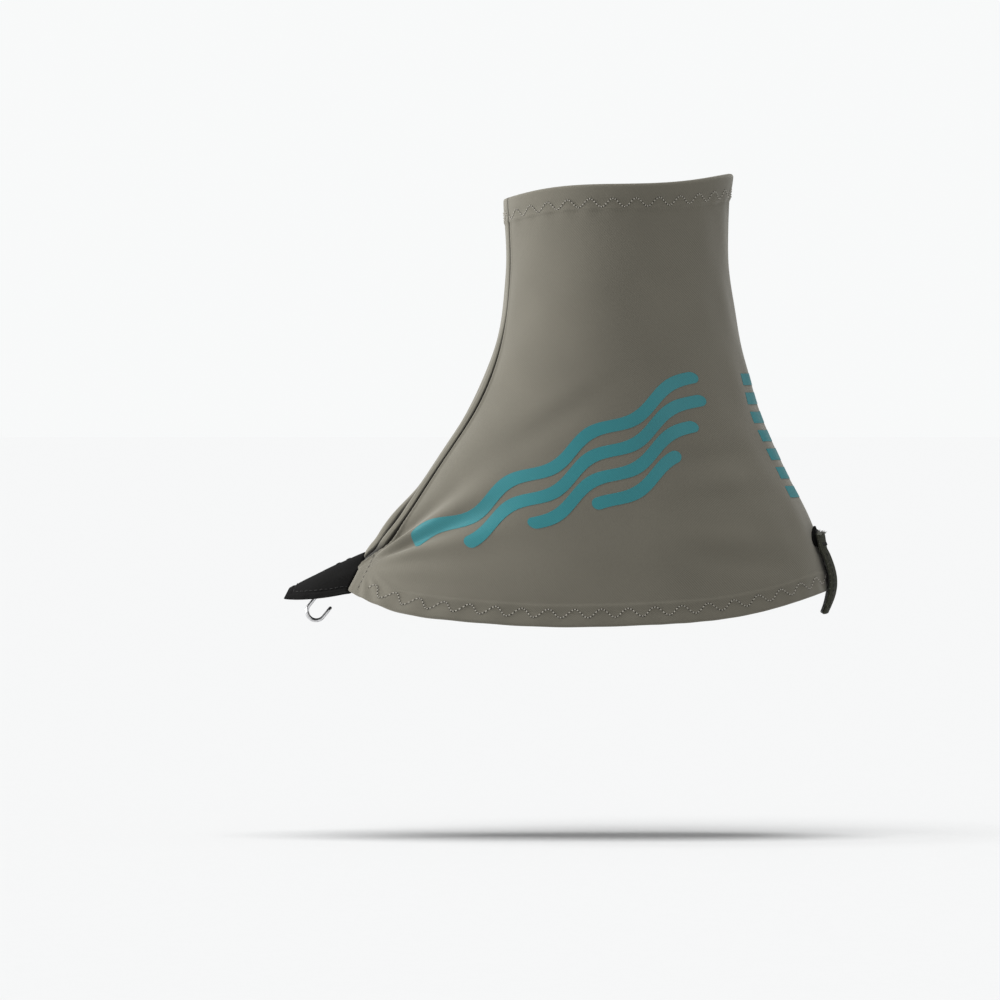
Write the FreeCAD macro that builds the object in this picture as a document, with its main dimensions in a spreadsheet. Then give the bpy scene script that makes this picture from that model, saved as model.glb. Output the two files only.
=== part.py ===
import FreeCAD, Part
import math
import os
import Sketcher
from FreeCAD import Placement, Rotation, Vector

# A low running gaiter for one foot, in millimetres.
#
# Frame: the origin is the centre of the top opening, where the leg goes in. +Z runs up the leg,
# -X is the toe side, +X is the heel side, and -Y is the outer side, which carries the print.
#
# The sleeve is stretch cloth. Its horizontal sections are egg-shaped: half an ellipse in front of
# the widest point and half an ellipse behind it. Every piece that lies on the sleeve or in its hems
# is cut from the same lofted skin, moved in or out by the layers that lie between.

OUT_DIR = "parts"
REACH = 200.0  # longer than the gaiter in any direction, for cutting tools
SIDE_Y = -REACH / 2  # side-view outlines are drawn here and extruded across the gaiter

doc = FreeCAD.newDocument("gaiter")

# ---------------------------------------------------------------------------------------------
# Driving dimensions
# ---------------------------------------------------------------------------------------------

SIZES = {
    # layers
    "cloth": 0.8,
    "elastic": 0.7,
    "layer_gap": 0.1,
    "film": 0.2,
    "thread_radius": 0.3,
    # hems
    "top_hem_depth": 10.0,
    "top_stitch_drop": 7.5,
    "top_stitch_pitch": 9.4,
    "bottom_hem_depth": 8.5,
    "bottom_stitch_rise": 5.4,
    "bottom_stitch_pitch": 10.8,
    "stitch_swing": 1.6,
    # front seam
    "seam_offset": -12.0,
    "seam_allowance": 5.0,
    # front of the hem, where the tab comes out: its ridge and its lower corner
    "ridge_x": -101.0,
    "ridge_z": -146.2,
    "corner_x": -109.9,
    "corner_z": -163.8,
    # front tab
    "tab_thick": 1.0,
    "tab_anchor_length": 8.0,
    "tab_anchor_gap": 0.4,
    "tab_anchor_low": 2.0,
    "tab_anchor_high": 8.0,
    "tab_row_inset": 4.0,
    "tab_row_low": 3.0,
    "tab_row_high": 27.0,
    "tab_drop": 1.3,
    "tab_gap": 0.35,
    "tab_length": 35.5,
    "tab_slope": 26.8,
    "tab_root_radius": 15.4,
    "tab_root_span": 204.0,
    "tab_middle_radius": 12.8,
    "tab_middle_span": 176.0,
    "tab_front_radius": 11.8,
    "tab_front_span": 98.0,
    # webbing loop and lace hook
    "webbing_width": 6.0,
    "webbing_thick": 0.9,
    "webbing_start": 7.0,
    "webbing_drop": 2.1,
    "bar_reach": 18.0,
    "bar_clearance": 0.05,
    "wire_radius": 0.7,
    "hook_half_width": 4.9,
    "hook_leg": 15.0,
    "hook_leg_slope": 51.0,
    "hook_bend_radius": 3.7,
    "hook_tip": 4.5,
    "hook_corner_radius": 1.5,
    # heel strap
    "strap_width": 26.0,
    "strap_thick": 1.1,
    "pad_thick": 0.9,
    "pad_width": 23.0,
    "strap_top": -138.4,
    "strap_hinge": -146.0,
    "strap_wrap_radius": 30.0,
}

# Sections of the sleeve, from the top down: height, front, rear, half width, and the place of the
# widest point. The first and the last lie beyond the hems, which trim the sleeve to its length.
SECTION_KEYS = ("level", "front", "rear", "half_width", "widest")
SECTIONS = (
    (10.0, -46.6, 47.2, 42.0, 0.0),
    (-18.0, -45.8, 44.7, 40.6, 0.0),
    (-45.0, -46.3, 46.6, 40.2, 0.5),
    (-75.0, -53.6, 52.9, 40.8, 1.0),
    (-105.0, -69.9, 63.3, 42.6, 3.0),
    (-130.0, -87.4, 75.6, 44.8, 6.0),
    (-152.0, -105.4, 84.0, 46.6, 9.0),
    (-184.0, -136.0, 86.8, 48.2, 14.0),
)

# The heel strap hangs outside the sleeve: height and inner face at the centre line, top down.
STRAP_KEYS = ("strap_level", "strap_face")
STRAP_SECTIONS = (
    (-147.0, 83.4),
    (-153.0, 85.8),
    (-159.0, 87.2),
    (-166.0, 86.6),
    (-173.4, 83.6),
)

# Hem lines, seen from the side. They are level across the sleeve.
TOP_LINE = ((-62, -9.5), (-46.8, -5.0), (-30, -1.3), (0, 0.4), (30, 2.1), (46.8, 5.2), (62, 8.6))
BOTTOM_LINE = ((-95.4, -170.4), (-68.6, -175.4), (-29.4, -178.0), (12.1, -177.2), (53.7, -173.0),
               (85.1, -164.2), (96.0, -160.6))

sheet = doc.addObject("Spreadsheet::Sheet", "sizes")


def fill_sheet():
    """Write every driving dimension into its own cell, with a word as its alias."""
    cells = dict(SIZES)
    for number, row in enumerate(SECTIONS, start=1):
        for key, value in zip(SECTION_KEYS, row):
            cells["%s_of_section_%d" % (key, number)] = value
    for number, row in enumerate(STRAP_SECTIONS, start=1):
        for key, value in zip(STRAP_KEYS, row):
            cells["%s_of_section_%d" % (key, number)] = value
    for line, (alias, value) in enumerate(cells.items(), start=1):
        sheet.set("A%d" % line, alias)
        sheet.set("B%d" % line, "%.4f" % value)
        sheet.setAlias("B%d" % line, alias)
    doc.recompute()


def size(alias):
    return float(sheet.get(alias))


fill_sheet()

SUBPARTS = []


def keep(obj, label):
    """Give a finished sub-part its label, which names its file."""
    obj.Label = label
    SUBPARTS.append(obj)
    return obj


def keep_shape(shape, label):
    """Keep a shape that follows the sleeve's free form as a sub-part of its own."""
    obj = doc.addObject("Part::Feature", label)
    obj.Shape = shape
    obj.Placement = Placement()
    return keep(obj, label)


# ---------------------------------------------------------------------------------------------
# The sleeve's skin
# ---------------------------------------------------------------------------------------------

def section_wire(number, inset):
    """One egg-shaped section, as two half outlines that meet at the front and at the rear."""
    level, front, rear, half_width, widest = (
        size("%s_of_section_%d" % (key, number)) for key in SECTION_KEYS)
    front_reach = widest - front - inset
    rear_reach = rear - widest - inset
    half = half_width - inset
    steps = 12
    shares = [step / steps for step in range(steps + 1)]
    edges = []
    for side in (-1.0, 1.0):
        points = []
        for share in shares:
            angle = math.pi * share
            reach = front_reach if math.cos(angle) > 0 else rear_reach
            points.append(Vector(widest - reach * math.cos(angle), side * half * math.sin(angle),
                                 level))
        curve = Part.BSplineCurve()
        across = Vector(0, side * math.pi * half, 0)
        curve.interpolate(Points=points, Parameters=shares, InitialTangent=across,
                          FinalTangent=across.negative(), Scale=False)
        edges.append(curve.toShape())
    return Part.Wire([edges[0], edges[1].reversed()])


SKINS = {}


def skin(inset):
    """The solid inside the sleeve's outer surface, moved inwards by inset."""
    key = round(inset, 4)
    if key not in SKINS:
        wires = [section_wire(number, inset) for number in range(1, len(SECTIONS) + 1)]
        SKINS[key] = Part.makeLoft(wires, True, False)
    return SKINS[key]


def layer(outer_inset, inner_inset):
    """The layer of the sleeve between two insets."""
    return skin(outer_inset).cut(skin(inner_inset))


# ---------------------------------------------------------------------------------------------
# Hem lines and the tools that trim along them
# ---------------------------------------------------------------------------------------------

def side_points(line, rise):
    return [Vector(x, SIDE_Y, z + rise) for x, z in line]


def side_spline(line, rise):
    curve = Part.BSplineCurve()
    curve.interpolate(side_points(line, rise))
    return curve.toShape()


ABOVE_RIDGE = 0.6  # of the slant's length, added above the ridge
SHIN = (4.0, -95.0)  # in front of the slant's upper end, and the height of a corner well clear of the shin


def bottom_line():
    """The long curve of the bottom hem, from the front corner to behind the heel."""
    return ((size("corner_x"), size("corner_z")),) + BOTTOM_LINE


def bottom_edges(rise):
    """The whole bottom hem line: the slant from above the ridge to the corner, then the curve."""
    corner = Vector(size("corner_x"), SIDE_Y, size("corner_z") + rise)
    ridge = Vector(size("ridge_x"), SIDE_Y, size("ridge_z") + rise)
    above_ridge = ridge + (ridge - corner) * ABOVE_RIDGE
    return [Part.makeLine(above_ridge, corner), side_spline(bottom_line(), rise)]


def hem_strip(line, low, high):
    """A block across the whole sleeve between two heights above one hem line."""
    lower = side_spline(line, low)
    upper = side_spline(line, high)
    ends = [Part.makeLine(lower.Vertexes[index].Point, upper.Vertexes[index].Point)
            for index in (0, -1)]
    face = Part.Face(Part.Wire(Part.__sortEdges__([lower, upper] + ends)))
    return face.extrude(Vector(0, REACH, 0))


def between_hems(top_drop, bottom_rise):
    """A block across the whole sleeve, a set way inside the top line and the bottom line."""
    top = side_spline(TOP_LINE, -top_drop)
    bottom = bottom_edges(bottom_rise)
    front_top = top.Vertexes[0].Point
    rear_top = top.Vertexes[-1].Point
    front_low = bottom[0].Vertexes[0].Point
    rear_low = bottom[1].Vertexes[-1].Point
    outside = Vector(front_low.x - SHIN[0], SIDE_Y, SHIN[1])
    edges = [top, Part.makeLine(rear_top, rear_low), bottom[1], bottom[0],
             Part.makeLine(front_low, outside), Part.makeLine(outside, front_top)]
    face = Part.Face(Part.Wire(Part.__sortEdges__(edges)))
    return face.extrude(Vector(0, REACH, 0))


def block(low, high):
    """A box between two corners."""
    span = [high[i] - low[i] for i in range(3)]
    return Part.makeBox(span[0], span[1], span[2], Vector(*low))


cloth = size("cloth")
gap = size("layer_gap")
elastic = size("elastic")
hem_channel = cloth + elastic + 2 * gap
hem_inner = hem_channel + cloth

# The bottom hem is folded only behind this plane: in front of it the tab's sewn end takes its place.
HEM_FOLD_FRONT = -97.0
INSTEP_TOP = -100.0  # everything in front of the hem's fold lies below this height
HEM_OVERLAP = 0.5
HEM_END_GAP = 0.5  # between an elastic and each end of its channel


def behind_front(shape):
    return shape.common(block((HEM_FOLD_FRONT, -REACH, -REACH), (REACH, REACH, REACH)))


def build_sleeve():
    """The cloth: one layer between the hems, and a fold round the elastic in each hem."""
    blank = skin(0).common(between_hems(0, 0)).cut(skin(hem_inner))
    single = between_hems(size("top_hem_depth"), size("bottom_hem_depth"))
    front = block((-REACH, -REACH, -REACH), (HEM_FOLD_FRONT, REACH, INSTEP_TOP))
    blank = blank.cut(skin(cloth).common(single))
    blank = blank.cut(skin(cloth).common(front))
    channel = layer(cloth, hem_channel)
    top_end = hem_strip(TOP_LINE, -size("top_hem_depth") - HEM_OVERLAP, -cloth)
    blank = blank.cut(channel.common(top_end))
    low_end = hem_strip(bottom_line(), cloth, size("bottom_hem_depth") + HEM_OVERLAP)
    blank = blank.cut(channel.common(low_end))
    return keep_shape(blank, "sleeve_fabric")


def build_elastics():
    """Two elastic bands that lie in the hem channels."""
    band = layer(cloth + gap, cloth + gap + elastic)
    start = cloth + HEM_END_GAP
    top_zone = hem_strip(TOP_LINE, HEM_END_GAP - size("top_hem_depth"), -start)
    keep_shape(band.common(top_zone), "top_hem_elastic")
    low_zone = hem_strip(bottom_line(), start, size("bottom_hem_depth") - HEM_END_GAP)
    keep_shape(behind_front(band.common(low_zone)), "bottom_hem_elastic")


SEAM_MARGIN = 1.0  # between the overlocked strip and each hem
SEAM_REAR = -30.0  # the seam lies in front of this
SEAM_FOOT = -134.0  # and above the tab's sewn end, which starts here


def build_seam():
    """The overlocked edges of the cloth, laid flat inside the front seam between the hems."""
    strip = layer(cloth + gap, cloth + gap + cloth)
    zone = between_hems(size("top_hem_depth") + SEAM_MARGIN, size("bottom_hem_depth") + SEAM_MARGIN)
    seam = size("seam_offset")
    slab = block((-REACH, seam, -REACH), (SEAM_REAR, seam + size("seam_allowance"), REACH))
    above_tab = block((-REACH, -REACH, SEAM_FOOT), (REACH, REACH, REACH))
    keep_shape(strip.common(zone).common(slab).common(above_tab), "front_seam_overlock")


# ---------------------------------------------------------------------------------------------
# Stitches
# ---------------------------------------------------------------------------------------------

HOLE_SHARE = 0.12  # of a run's length, left bare at each of its ends
THREAD_RISE = 0.6  # of the thread's radius, by which its centre line stands off the cloth


def thread_run(start, end):
    """One straight run of thread, from hole to hole."""
    along = end - start
    return Part.makeCylinder(size("thread_radius"), along.Length, start, along)


def side_faces():
    """The two halves of the skin that threads lie on, outer side first."""
    proud = skin(-size("thread_radius") * THREAD_RISE)
    faces = [face for face in proud.Faces if face.BoundBox.ZLength > REACH / 2]
    return sorted(faces, key=lambda face: face.CenterOfMass.y)


def trace(face, edges):
    """The edges along which a line drawn in the side view crosses one half of the sleeve."""
    cutters = [edge.extrude(Vector(0, REACH, 0)) for edge in edges]
    return Part.__sortEdges__(face.section(Part.Compound(cutters)).Edges)


def rail(face, edges, count):
    """Evenly spaced points along a hem line on one half of the sleeve, from the front to the rear."""
    points = Part.Wire(trace(face, edges)).discretize(Number=count)
    if points[0].x > points[-1].x:
        points.reverse()
    return points


def wavy_row(edges_at, centre, pitch):
    """A serpentine row as runs that cross from one rail to the other, half a wave each."""
    runs = []
    swing = size("stitch_swing")
    for face in side_faces():
        length = Part.Wire(trace(face, edges_at(centre))).Length
        count = 2 * int(length / pitch) + 1
        low = rail(face, edges_at(centre - swing), count)
        high = rail(face, edges_at(centre + swing), count)
        points = [high[i] if i % 2 else low[i] for i in range(count)]
        for start, stop in zip(points, points[1:]):
            step = (stop - start) * HOLE_SHARE
            runs.append(thread_run(start + step, stop - step))
    return Part.Compound(runs)


def build_hem_stitching():
    keep_shape(wavy_row(lambda rise: [side_spline(TOP_LINE, rise)],
                        -size("top_stitch_drop"), size("top_stitch_pitch")),
               "top_hem_stitching")
    keep_shape(wavy_row(lambda rise: [bottom_edges(rise)[1]],
                        size("bottom_stitch_rise"), size("bottom_stitch_pitch")),
               "bottom_hem_stitching")


# ---------------------------------------------------------------------------------------------
# Prints
# ---------------------------------------------------------------------------------------------

# The side print is a set of wavy bands that climb from the lower front to the upper rear. Each next
# band lies below the last and is shorter.
PRINT_START = (-84.0, -146.0)
PRINT_SLOPE = 31.0
BAND_PITCH = 8.6
BAND_HEIGHT = 5.2
WAVE_LENGTH = 38.0
WAVE_SWING = 2.2
BAND_STEP = 6.0  # between the points that a band's edges pass through
WAVE_SHIFT = 0.8  # radians from one band to the next
BAND_SPANS = ((4.0, 132.0), (22.0, 130.0), (48.0, 122.0), (74.0, 110.0))


def band_face(row, start, stop):
    """One wavy band with round ends, drawn on the outer side."""
    slope = math.radians(PRINT_SLOPE)
    along = Vector(math.cos(slope), 0, math.sin(slope))
    across = Vector(-math.sin(slope), 0, math.cos(slope))
    origin = Vector(PRINT_START[0], SIDE_Y, PRINT_START[1]) + across * (-row * BAND_PITCH)
    steps = max(6, int((stop - start) / BAND_STEP))

    def edge_points(offset):
        places = [start + (stop - start) * step / steps for step in range(steps + 1)]
        phases = [2 * math.pi * place / WAVE_LENGTH + row * WAVE_SHIFT for place in places]
        return [origin + along * place + across * (offset + WAVE_SWING * math.sin(phase))
                for place, phase in zip(places, phases)]

    upper = edge_points(BAND_HEIGHT / 2)
    lower = edge_points(-BAND_HEIGHT / 2)
    edges = []
    for points in (upper, lower):
        curve = Part.BSplineCurve()
        curve.interpolate(points)
        edges.append(curve.toShape())
    for index, way in ((0, -1.0), (-1, 1.0)):
        tip = (upper[index] + lower[index]) * 0.5 + along * (way * BAND_HEIGHT / 2)
        edges.append(Part.Arc(upper[index], tip, lower[index]).toShape())
    return Part.Face(Part.Wire(Part.__sortEdges__(edges)))


def build_side_print():
    film = layer(-size("film"), 0)
    tools = [band_face(row, start, stop).extrude(Vector(0, REACH / 2, 0))
             for row, (start, stop) in enumerate(BAND_SPANS)]
    bands = [film.common(tool) for tool in tools]
    keep_shape(Part.Compound([solid for band in bands for solid in band.Solids]), "side_print")


# The rear print is a ladder of plain blocks down the back.
BLOCK_COUNT = 7
BLOCK_TOP = -76.0
BLOCK_PITCH = 7.6
BLOCK_HEIGHT = 4.6
BLOCK_HALF_WIDTH = 15.0
BEHIND = 20.0  # x beyond which only the back of the sleeve lies


def build_rear_print():
    film = layer(-size("film"), 0)
    blocks = []
    for number in range(BLOCK_COUNT):
        top = BLOCK_TOP - number * BLOCK_PITCH
        tool = block((BEHIND, -BLOCK_HALF_WIDTH, top - BLOCK_HEIGHT), (REACH, BLOCK_HALF_WIDTH, top))
        blocks += film.common(tool).Solids
    keep_shape(Part.Compound(blocks), "rear_print")


# ---------------------------------------------------------------------------------------------
# Bodies: shared helpers
# ---------------------------------------------------------------------------------------------

def new_body(name):
    return doc.addObject("PartDesign::Body", name)


def origin_plane(body, role):
    return [feature for feature in body.Origin.OriginFeatures if feature.Role == role][0]


def new_sketch(body, name, role):
    sketch = body.newObject("Sketcher::SketchObject", name)
    sketch.AttachmentSupport = [(origin_plane(body, role), "")]
    sketch.MapMode = "FlatFace"
    return sketch


def drive(sketch, named):
    """Add dimensions to a sketch, each driven by an expression in the sheet's aliases."""
    for label, constraint, expression in named:
        index = sketch.addConstraint(constraint)
        sketch.renameConstraint(index, label)
        sketch.setExpression("Constraints." + label, expression)


def arc_strip(body, name, radius, thick, span):
    """A sketch of a curved strip: two arcs about the origin, joined by radial ends.

    radius, thick and span are expressions in the sheet's aliases.
    """
    sketch = new_sketch(body, name, "XY_Plane")
    half = math.pi / 4
    centre = Vector(0, 0, 0)
    normal = Vector(0, 0, 1)
    first = math.pi / 2 - half
    last = math.pi / 2 + half
    outer_radius = 12.0
    inner_radius = 11.0
    outer_circle = Part.Circle(centre, normal, outer_radius)
    inner_circle = Part.Circle(centre, normal, inner_radius)
    outer = sketch.addGeometry(Part.ArcOfCircle(outer_circle, first, last))
    inner = sketch.addGeometry(Part.ArcOfCircle(inner_circle, first, last))

    def on_circle(distance, angle):
        return Vector(distance * math.cos(angle), distance * math.sin(angle), 0)

    ends = []
    for angle in (first, last):
        ends.append(sketch.addGeometry(Part.LineSegment(on_circle(inner_radius, angle),
                                                        on_circle(outer_radius, angle))))
    add = sketch.addConstraint
    add(Sketcher.Constraint("Coincident", outer, 3, -1, 1))
    add(Sketcher.Constraint("Coincident", inner, 3, -1, 1))
    for point, end in ((1, ends[0]), (2, ends[1])):
        add(Sketcher.Constraint("Coincident", inner, point, end, 1))
        add(Sketcher.Constraint("Coincident", outer, point, end, 2))
        add(Sketcher.Constraint("PointOnObject", -1, 1, end))
    add(Sketcher.Constraint("Horizontal", outer, 1, outer, 2))
    named = (("outer_radius", Sketcher.Constraint("Radius", outer, outer_radius),
              "%s + %s" % (radius, thick)),
             ("inner_radius", Sketcher.Constraint("Radius", inner, inner_radius), radius),
             ("span", Sketcher.Constraint("Angle", outer, 2 * half), "(%s) * 1 deg" % span))
    drive(sketch, named)
    return sketch


def loft_body(label, sketches, body):
    loft = body.newObject("PartDesign::AdditiveLoft", "loft")
    loft.Profile = sketches[0]
    loft.Sections = sketches[1:]
    loft.Ruled = False
    body.Tip = loft
    return keep(body, label)


# ---------------------------------------------------------------------------------------------
# Front tab
# ---------------------------------------------------------------------------------------------

def tab_up():
    """The direction in the side view from the hem's lower corner to its ridge."""
    up = Vector(size("ridge_x") - size("corner_x"), 0, size("ridge_z") - size("corner_z"))
    return up.normalize()


def tab_root():
    """The top of the tab's root, just in front of the hem and a little below its ridge."""
    up = tab_up()
    ahead = Vector(-up.z, 0, up.x)
    ridge = Vector(size("ridge_x"), 0, size("ridge_z"))
    return ridge - up * size("tab_drop") + ahead * size("tab_gap")


def tab_point(reach, drop):
    """A point on the tab's centre line: reach forwards along its ridge, drop towards the foot."""
    slope = math.radians(size("tab_slope"))
    forward = Vector(-math.cos(slope), 0, -math.sin(slope))
    down = Vector(math.sin(slope), 0, -math.cos(slope))
    return tab_root() + forward * reach + down * drop


def build_front_tab():
    """The arched flap, from the hem to its narrow front end."""
    body = new_body("front_tab_body")
    up = tab_up()
    across = Vector(0, 1, 0)
    turn = Rotation(across, up, across.cross(up), "ZXY")
    places = (("root", 0.0), ("middle", 0.5), ("front", 1.0))
    sketches = []
    for part_name, share in places:
        sketch = arc_strip(body, "tab_%s" % part_name, "sizes.tab_%s_radius" % part_name,
                           "sizes.tab_thick", "sizes.tab_%s_span" % part_name)
        top = tab_point(size("tab_length") * share, 0.0)
        outer = size("tab_%s_radius" % part_name) + size("tab_thick")
        sketch.AttachmentOffset = Placement(top - up * outer, turn)
        sketches.append(sketch)
    return loft_body("front_tab", sketches, body)


def build_tab_anchor():
    """The end of the tab that is sewn under the hem, just behind the flap."""
    under = layer(cloth + gap, cloth + gap + size("tab_thick"))
    corner = Vector(size("corner_x"), SIDE_Y, size("corner_z"))
    ridge = Vector(size("ridge_x"), SIDE_Y, size("ridge_z"))
    up = tab_up()
    back = Vector(1, 0, 0)
    low = corner + up * size("tab_anchor_low") + back * size("tab_anchor_gap")
    high = ridge + up * size("tab_anchor_high") + back * size("tab_anchor_gap")
    length = back * size("tab_anchor_length")
    points = [low, high, high + length, low + length, low]
    tool = Part.Face(Part.makePolygon(points)).extrude(Vector(0, REACH, 0))
    keep_shape(under.common(tool), "front_tab_anchor")


TAB_ROW_ENDS = 19  # ends of stitches along each half of the row


def build_tab_stitching():
    """A straight row of stitches through the hem's front and the tab's sewn end."""
    corner = Vector(size("corner_x") + size("tab_row_inset"), SIDE_Y, size("corner_z"))
    up = tab_up()
    low = corner + up * size("tab_row_low")
    high = corner + up * size("tab_row_high")
    runs = []
    for face in side_faces():
        points = rail(face, [Part.makeLine(low, high)], TAB_ROW_ENDS)
        for start, stop in zip(points[::2], points[1::2]):
            runs.append(thread_run(start, stop))
    keep_shape(Part.Compound(runs), "front_tab_stitching")


# ---------------------------------------------------------------------------------------------
# Webbing loop and lace hook
# ---------------------------------------------------------------------------------------------

def build_webbing_loop():
    """Webbing folded round the hook's bar: two leaves sewn flat, and the round loop at their end."""
    body = new_body("webbing_body")
    sketch = new_sketch(body, "webbing_side", "XZ_Plane")
    # the sketch is drawn near its final size, and its dimensions then follow the sheet
    bore = 0.75
    round_outer = 1.65
    leaf = 10.0
    centre = Vector(0, 0, 0)
    normal = Vector(0, 0, 1)
    # The sketch's x runs along the tab, away from the loop, and its y runs up to the tab.
    leaf_low = -0.15
    meet = -math.asin(abs(leaf_low) / round_outer)
    outer = sketch.addGeometry(Part.ArcOfCircle(Part.Circle(centre, normal, round_outer),
                                                math.pi / 2, 2 * math.pi + meet))
    hole = sketch.addGeometry(Part.Circle(centre, normal, bore))
    start = Vector(0, round_outer, 0)
    corners = [start, Vector(leaf, round_outer, 0), Vector(leaf, leaf_low, 0),
               Vector(round_outer * math.cos(meet), leaf_low, 0)]
    lines = [sketch.addGeometry(Part.LineSegment(a, b)) for a, b in zip(corners, corners[1:])]
    add = sketch.addConstraint
    add(Sketcher.Constraint("Coincident", outer, 3, -1, 1))
    add(Sketcher.Constraint("Coincident", hole, 3, -1, 1))
    add(Sketcher.Constraint("Coincident", outer, 1, lines[0], 1))
    add(Sketcher.Constraint("Coincident", lines[0], 2, lines[1], 1))
    add(Sketcher.Constraint("Coincident", lines[1], 2, lines[2], 1))
    add(Sketcher.Constraint("Coincident", lines[2], 2, outer, 2))
    add(Sketcher.Constraint("PointOnObject", outer, 1, -2))
    add(Sketcher.Constraint("Horizontal", lines[0]))
    add(Sketcher.Constraint("Vertical", lines[1]))
    add(Sketcher.Constraint("Horizontal", lines[2]))
    bore_size = "sizes.wire_radius + sizes.bar_clearance"
    named = (("bore", Sketcher.Constraint("Radius", hole, bore), bore_size),
             ("round", Sketcher.Constraint("Radius", outer, round_outer),
              bore_size + " + sizes.webbing_thick"),
             ("leaf", Sketcher.Constraint("DistanceX", lines[0], 1, lines[0], 2, leaf),
              "sizes.bar_reach - sizes.webbing_start"),
             ("stack",
              Sketcher.Constraint("DistanceY", lines[1], 2, lines[1], 1, round_outer - leaf_low),
              "2 * sizes.webbing_thick"))
    drive(sketch, named)
    pad = body.newObject("PartDesign::Pad", "webbing")
    pad.Profile = sketch
    pad.Midplane = True
    pad.setExpression("Length", "sizes.webbing_width")
    body.Tip = pad
    body.Placement = Placement(bar_centre(), Rotation(Vector(0, 1, 0), -size("tab_slope")))
    return keep(body, "hook_webbing_loop")


def bar_centre():
    """The axis that the lace hook turns about."""
    loop_radius = size("wire_radius") + size("bar_clearance") + size("webbing_thick")
    return tab_point(size("bar_reach"), size("webbing_drop") + loop_radius)


def build_lace_hook():
    """A bent wire: a bar across, two legs, a round bend back under them, and a bar across the tip.

    The path is drawn flat, with x along the legs, y across and z towards the tip's side of the bend,
    and then turned to the legs' slope.
    """
    half = size("hook_half_width")
    leg = size("hook_leg")
    bend = size("hook_bend_radius")
    tip = size("hook_tip")
    corner = size("hook_corner_radius")
    butt_gap = 0.15
    diagonal = corner * (1 - math.sqrt(0.5))

    def mirrored(point):
        return Vector(point.x, -point.y, point.z)

    def half_path(place):
        """Edges of one half of the wire, from the bar's middle to the tip's middle."""
        far = leg
        low = 2 * bend
        end = leg - tip
        points = [Vector(0, butt_gap, 0), Vector(0, half - corner, 0),
                  Vector(diagonal, half - diagonal, 0), Vector(corner, half, 0),
                  Vector(far, half, 0), Vector(far + bend, half, bend),
                  Vector(far, half, low), Vector(end + corner, half, low),
                  Vector(end + diagonal, half - diagonal, low), Vector(end, half - corner, low),
                  Vector(end, 0, low)]
        at = [place(point) for point in points]
        return [Part.LineSegment(at[0], at[1]).toShape(),
                Part.Arc(at[1], at[2], at[3]).toShape(),
                Part.LineSegment(at[3], at[4]).toShape(),
                Part.Arc(at[4], at[5], at[6]).toShape(),
                Part.LineSegment(at[6], at[7]).toShape(),
                Part.Arc(at[7], at[8], at[9]).toShape(),
                Part.LineSegment(at[9], at[10]).toShape()]

    edges = half_path(lambda point: point) + half_path(mirrored)
    spine = doc.addObject("Part::Feature", "hook_spine")
    spine.Shape = Part.Wire(Part.__sortEdges__(edges))
    circle = doc.addObject("Part::Circle", "hook_wire_section")
    circle.setExpression("Radius", "sizes.wire_radius")
    start = spine.Shape.OrderedVertexes[0].Point
    facing = Vector(0, 1, 0)
    circle.Placement = Placement(start, Rotation(Vector(0, 0, 1), facing))
    doc.recompute()
    sweep = doc.addObject("Part::Sweep", "hook_sweep")
    sweep.Sections = [circle]
    sweep.Spine = (spine, ["Edge%d" % number for number in range(1, len(spine.Shape.Edges) + 1)])
    sweep.Solid = True
    sweep.Frenet = False
    sweep.Placement = hook_placement()
    return keep(sweep, "lace_hook")


def hook_placement():
    slope = math.radians(size("hook_leg_slope"))
    along = Vector(-math.cos(slope), 0, -math.sin(slope))
    below = Vector(math.sin(slope), 0, -math.cos(slope))
    across = below.cross(along)
    return Placement(bar_centre(), Rotation(along, across, below, "ZXY"))


def zigzag(corner, along, across, length, width, count):
    """A bartack: a tight zigzag of thread, drawn from one corner."""
    points = []
    for index in range(count + 1):
        side = width if index % 2 else 0.0
        points.append(corner + along * (length * index / count) + across * side)
    return [thread_run(a, b) for a, b in zip(points, points[1:])]


LOOP_BARTACKS = (9.0, 13.5)  # reach along the tab
LOOP_BARTACK_WIDTH = 2.0
LOOP_BARTACK_RUNS = 8
LOOP_BARTACK_MARGIN = 1.0  # of the webbing's width, left clear


def build_loop_bartack():
    """Stitches that hold the webbing to the tab, seen on top of it."""
    lift = size("thread_radius") * THREAD_RISE
    runs = []
    length = size("webbing_width") - LOOP_BARTACK_MARGIN
    for reach in LOOP_BARTACKS:
        corner = tab_point(reach, -lift) + Vector(0, -length / 2, 0)
        ahead = tab_point(reach + 1.0, -lift) - tab_point(reach, -lift)
        runs += zigzag(corner, Vector(0, 1, 0), ahead, length, LOOP_BARTACK_WIDTH,
                       LOOP_BARTACK_RUNS)
    keep_shape(Part.Compound(runs), "hook_loop_bartack")


# ---------------------------------------------------------------------------------------------
# Heel strap
# ---------------------------------------------------------------------------------------------

PAD_GAP = 0.02  # between the hook tape and the strap
ANCHOR_GAP = 0.05  # between the sleeve and the strap's sewn end
LAST_NARROWING = 0.82  # of the strap's width, left at its free end
HINGE_GAP = 0.4  # between the sewn end and the hanging strap


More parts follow.
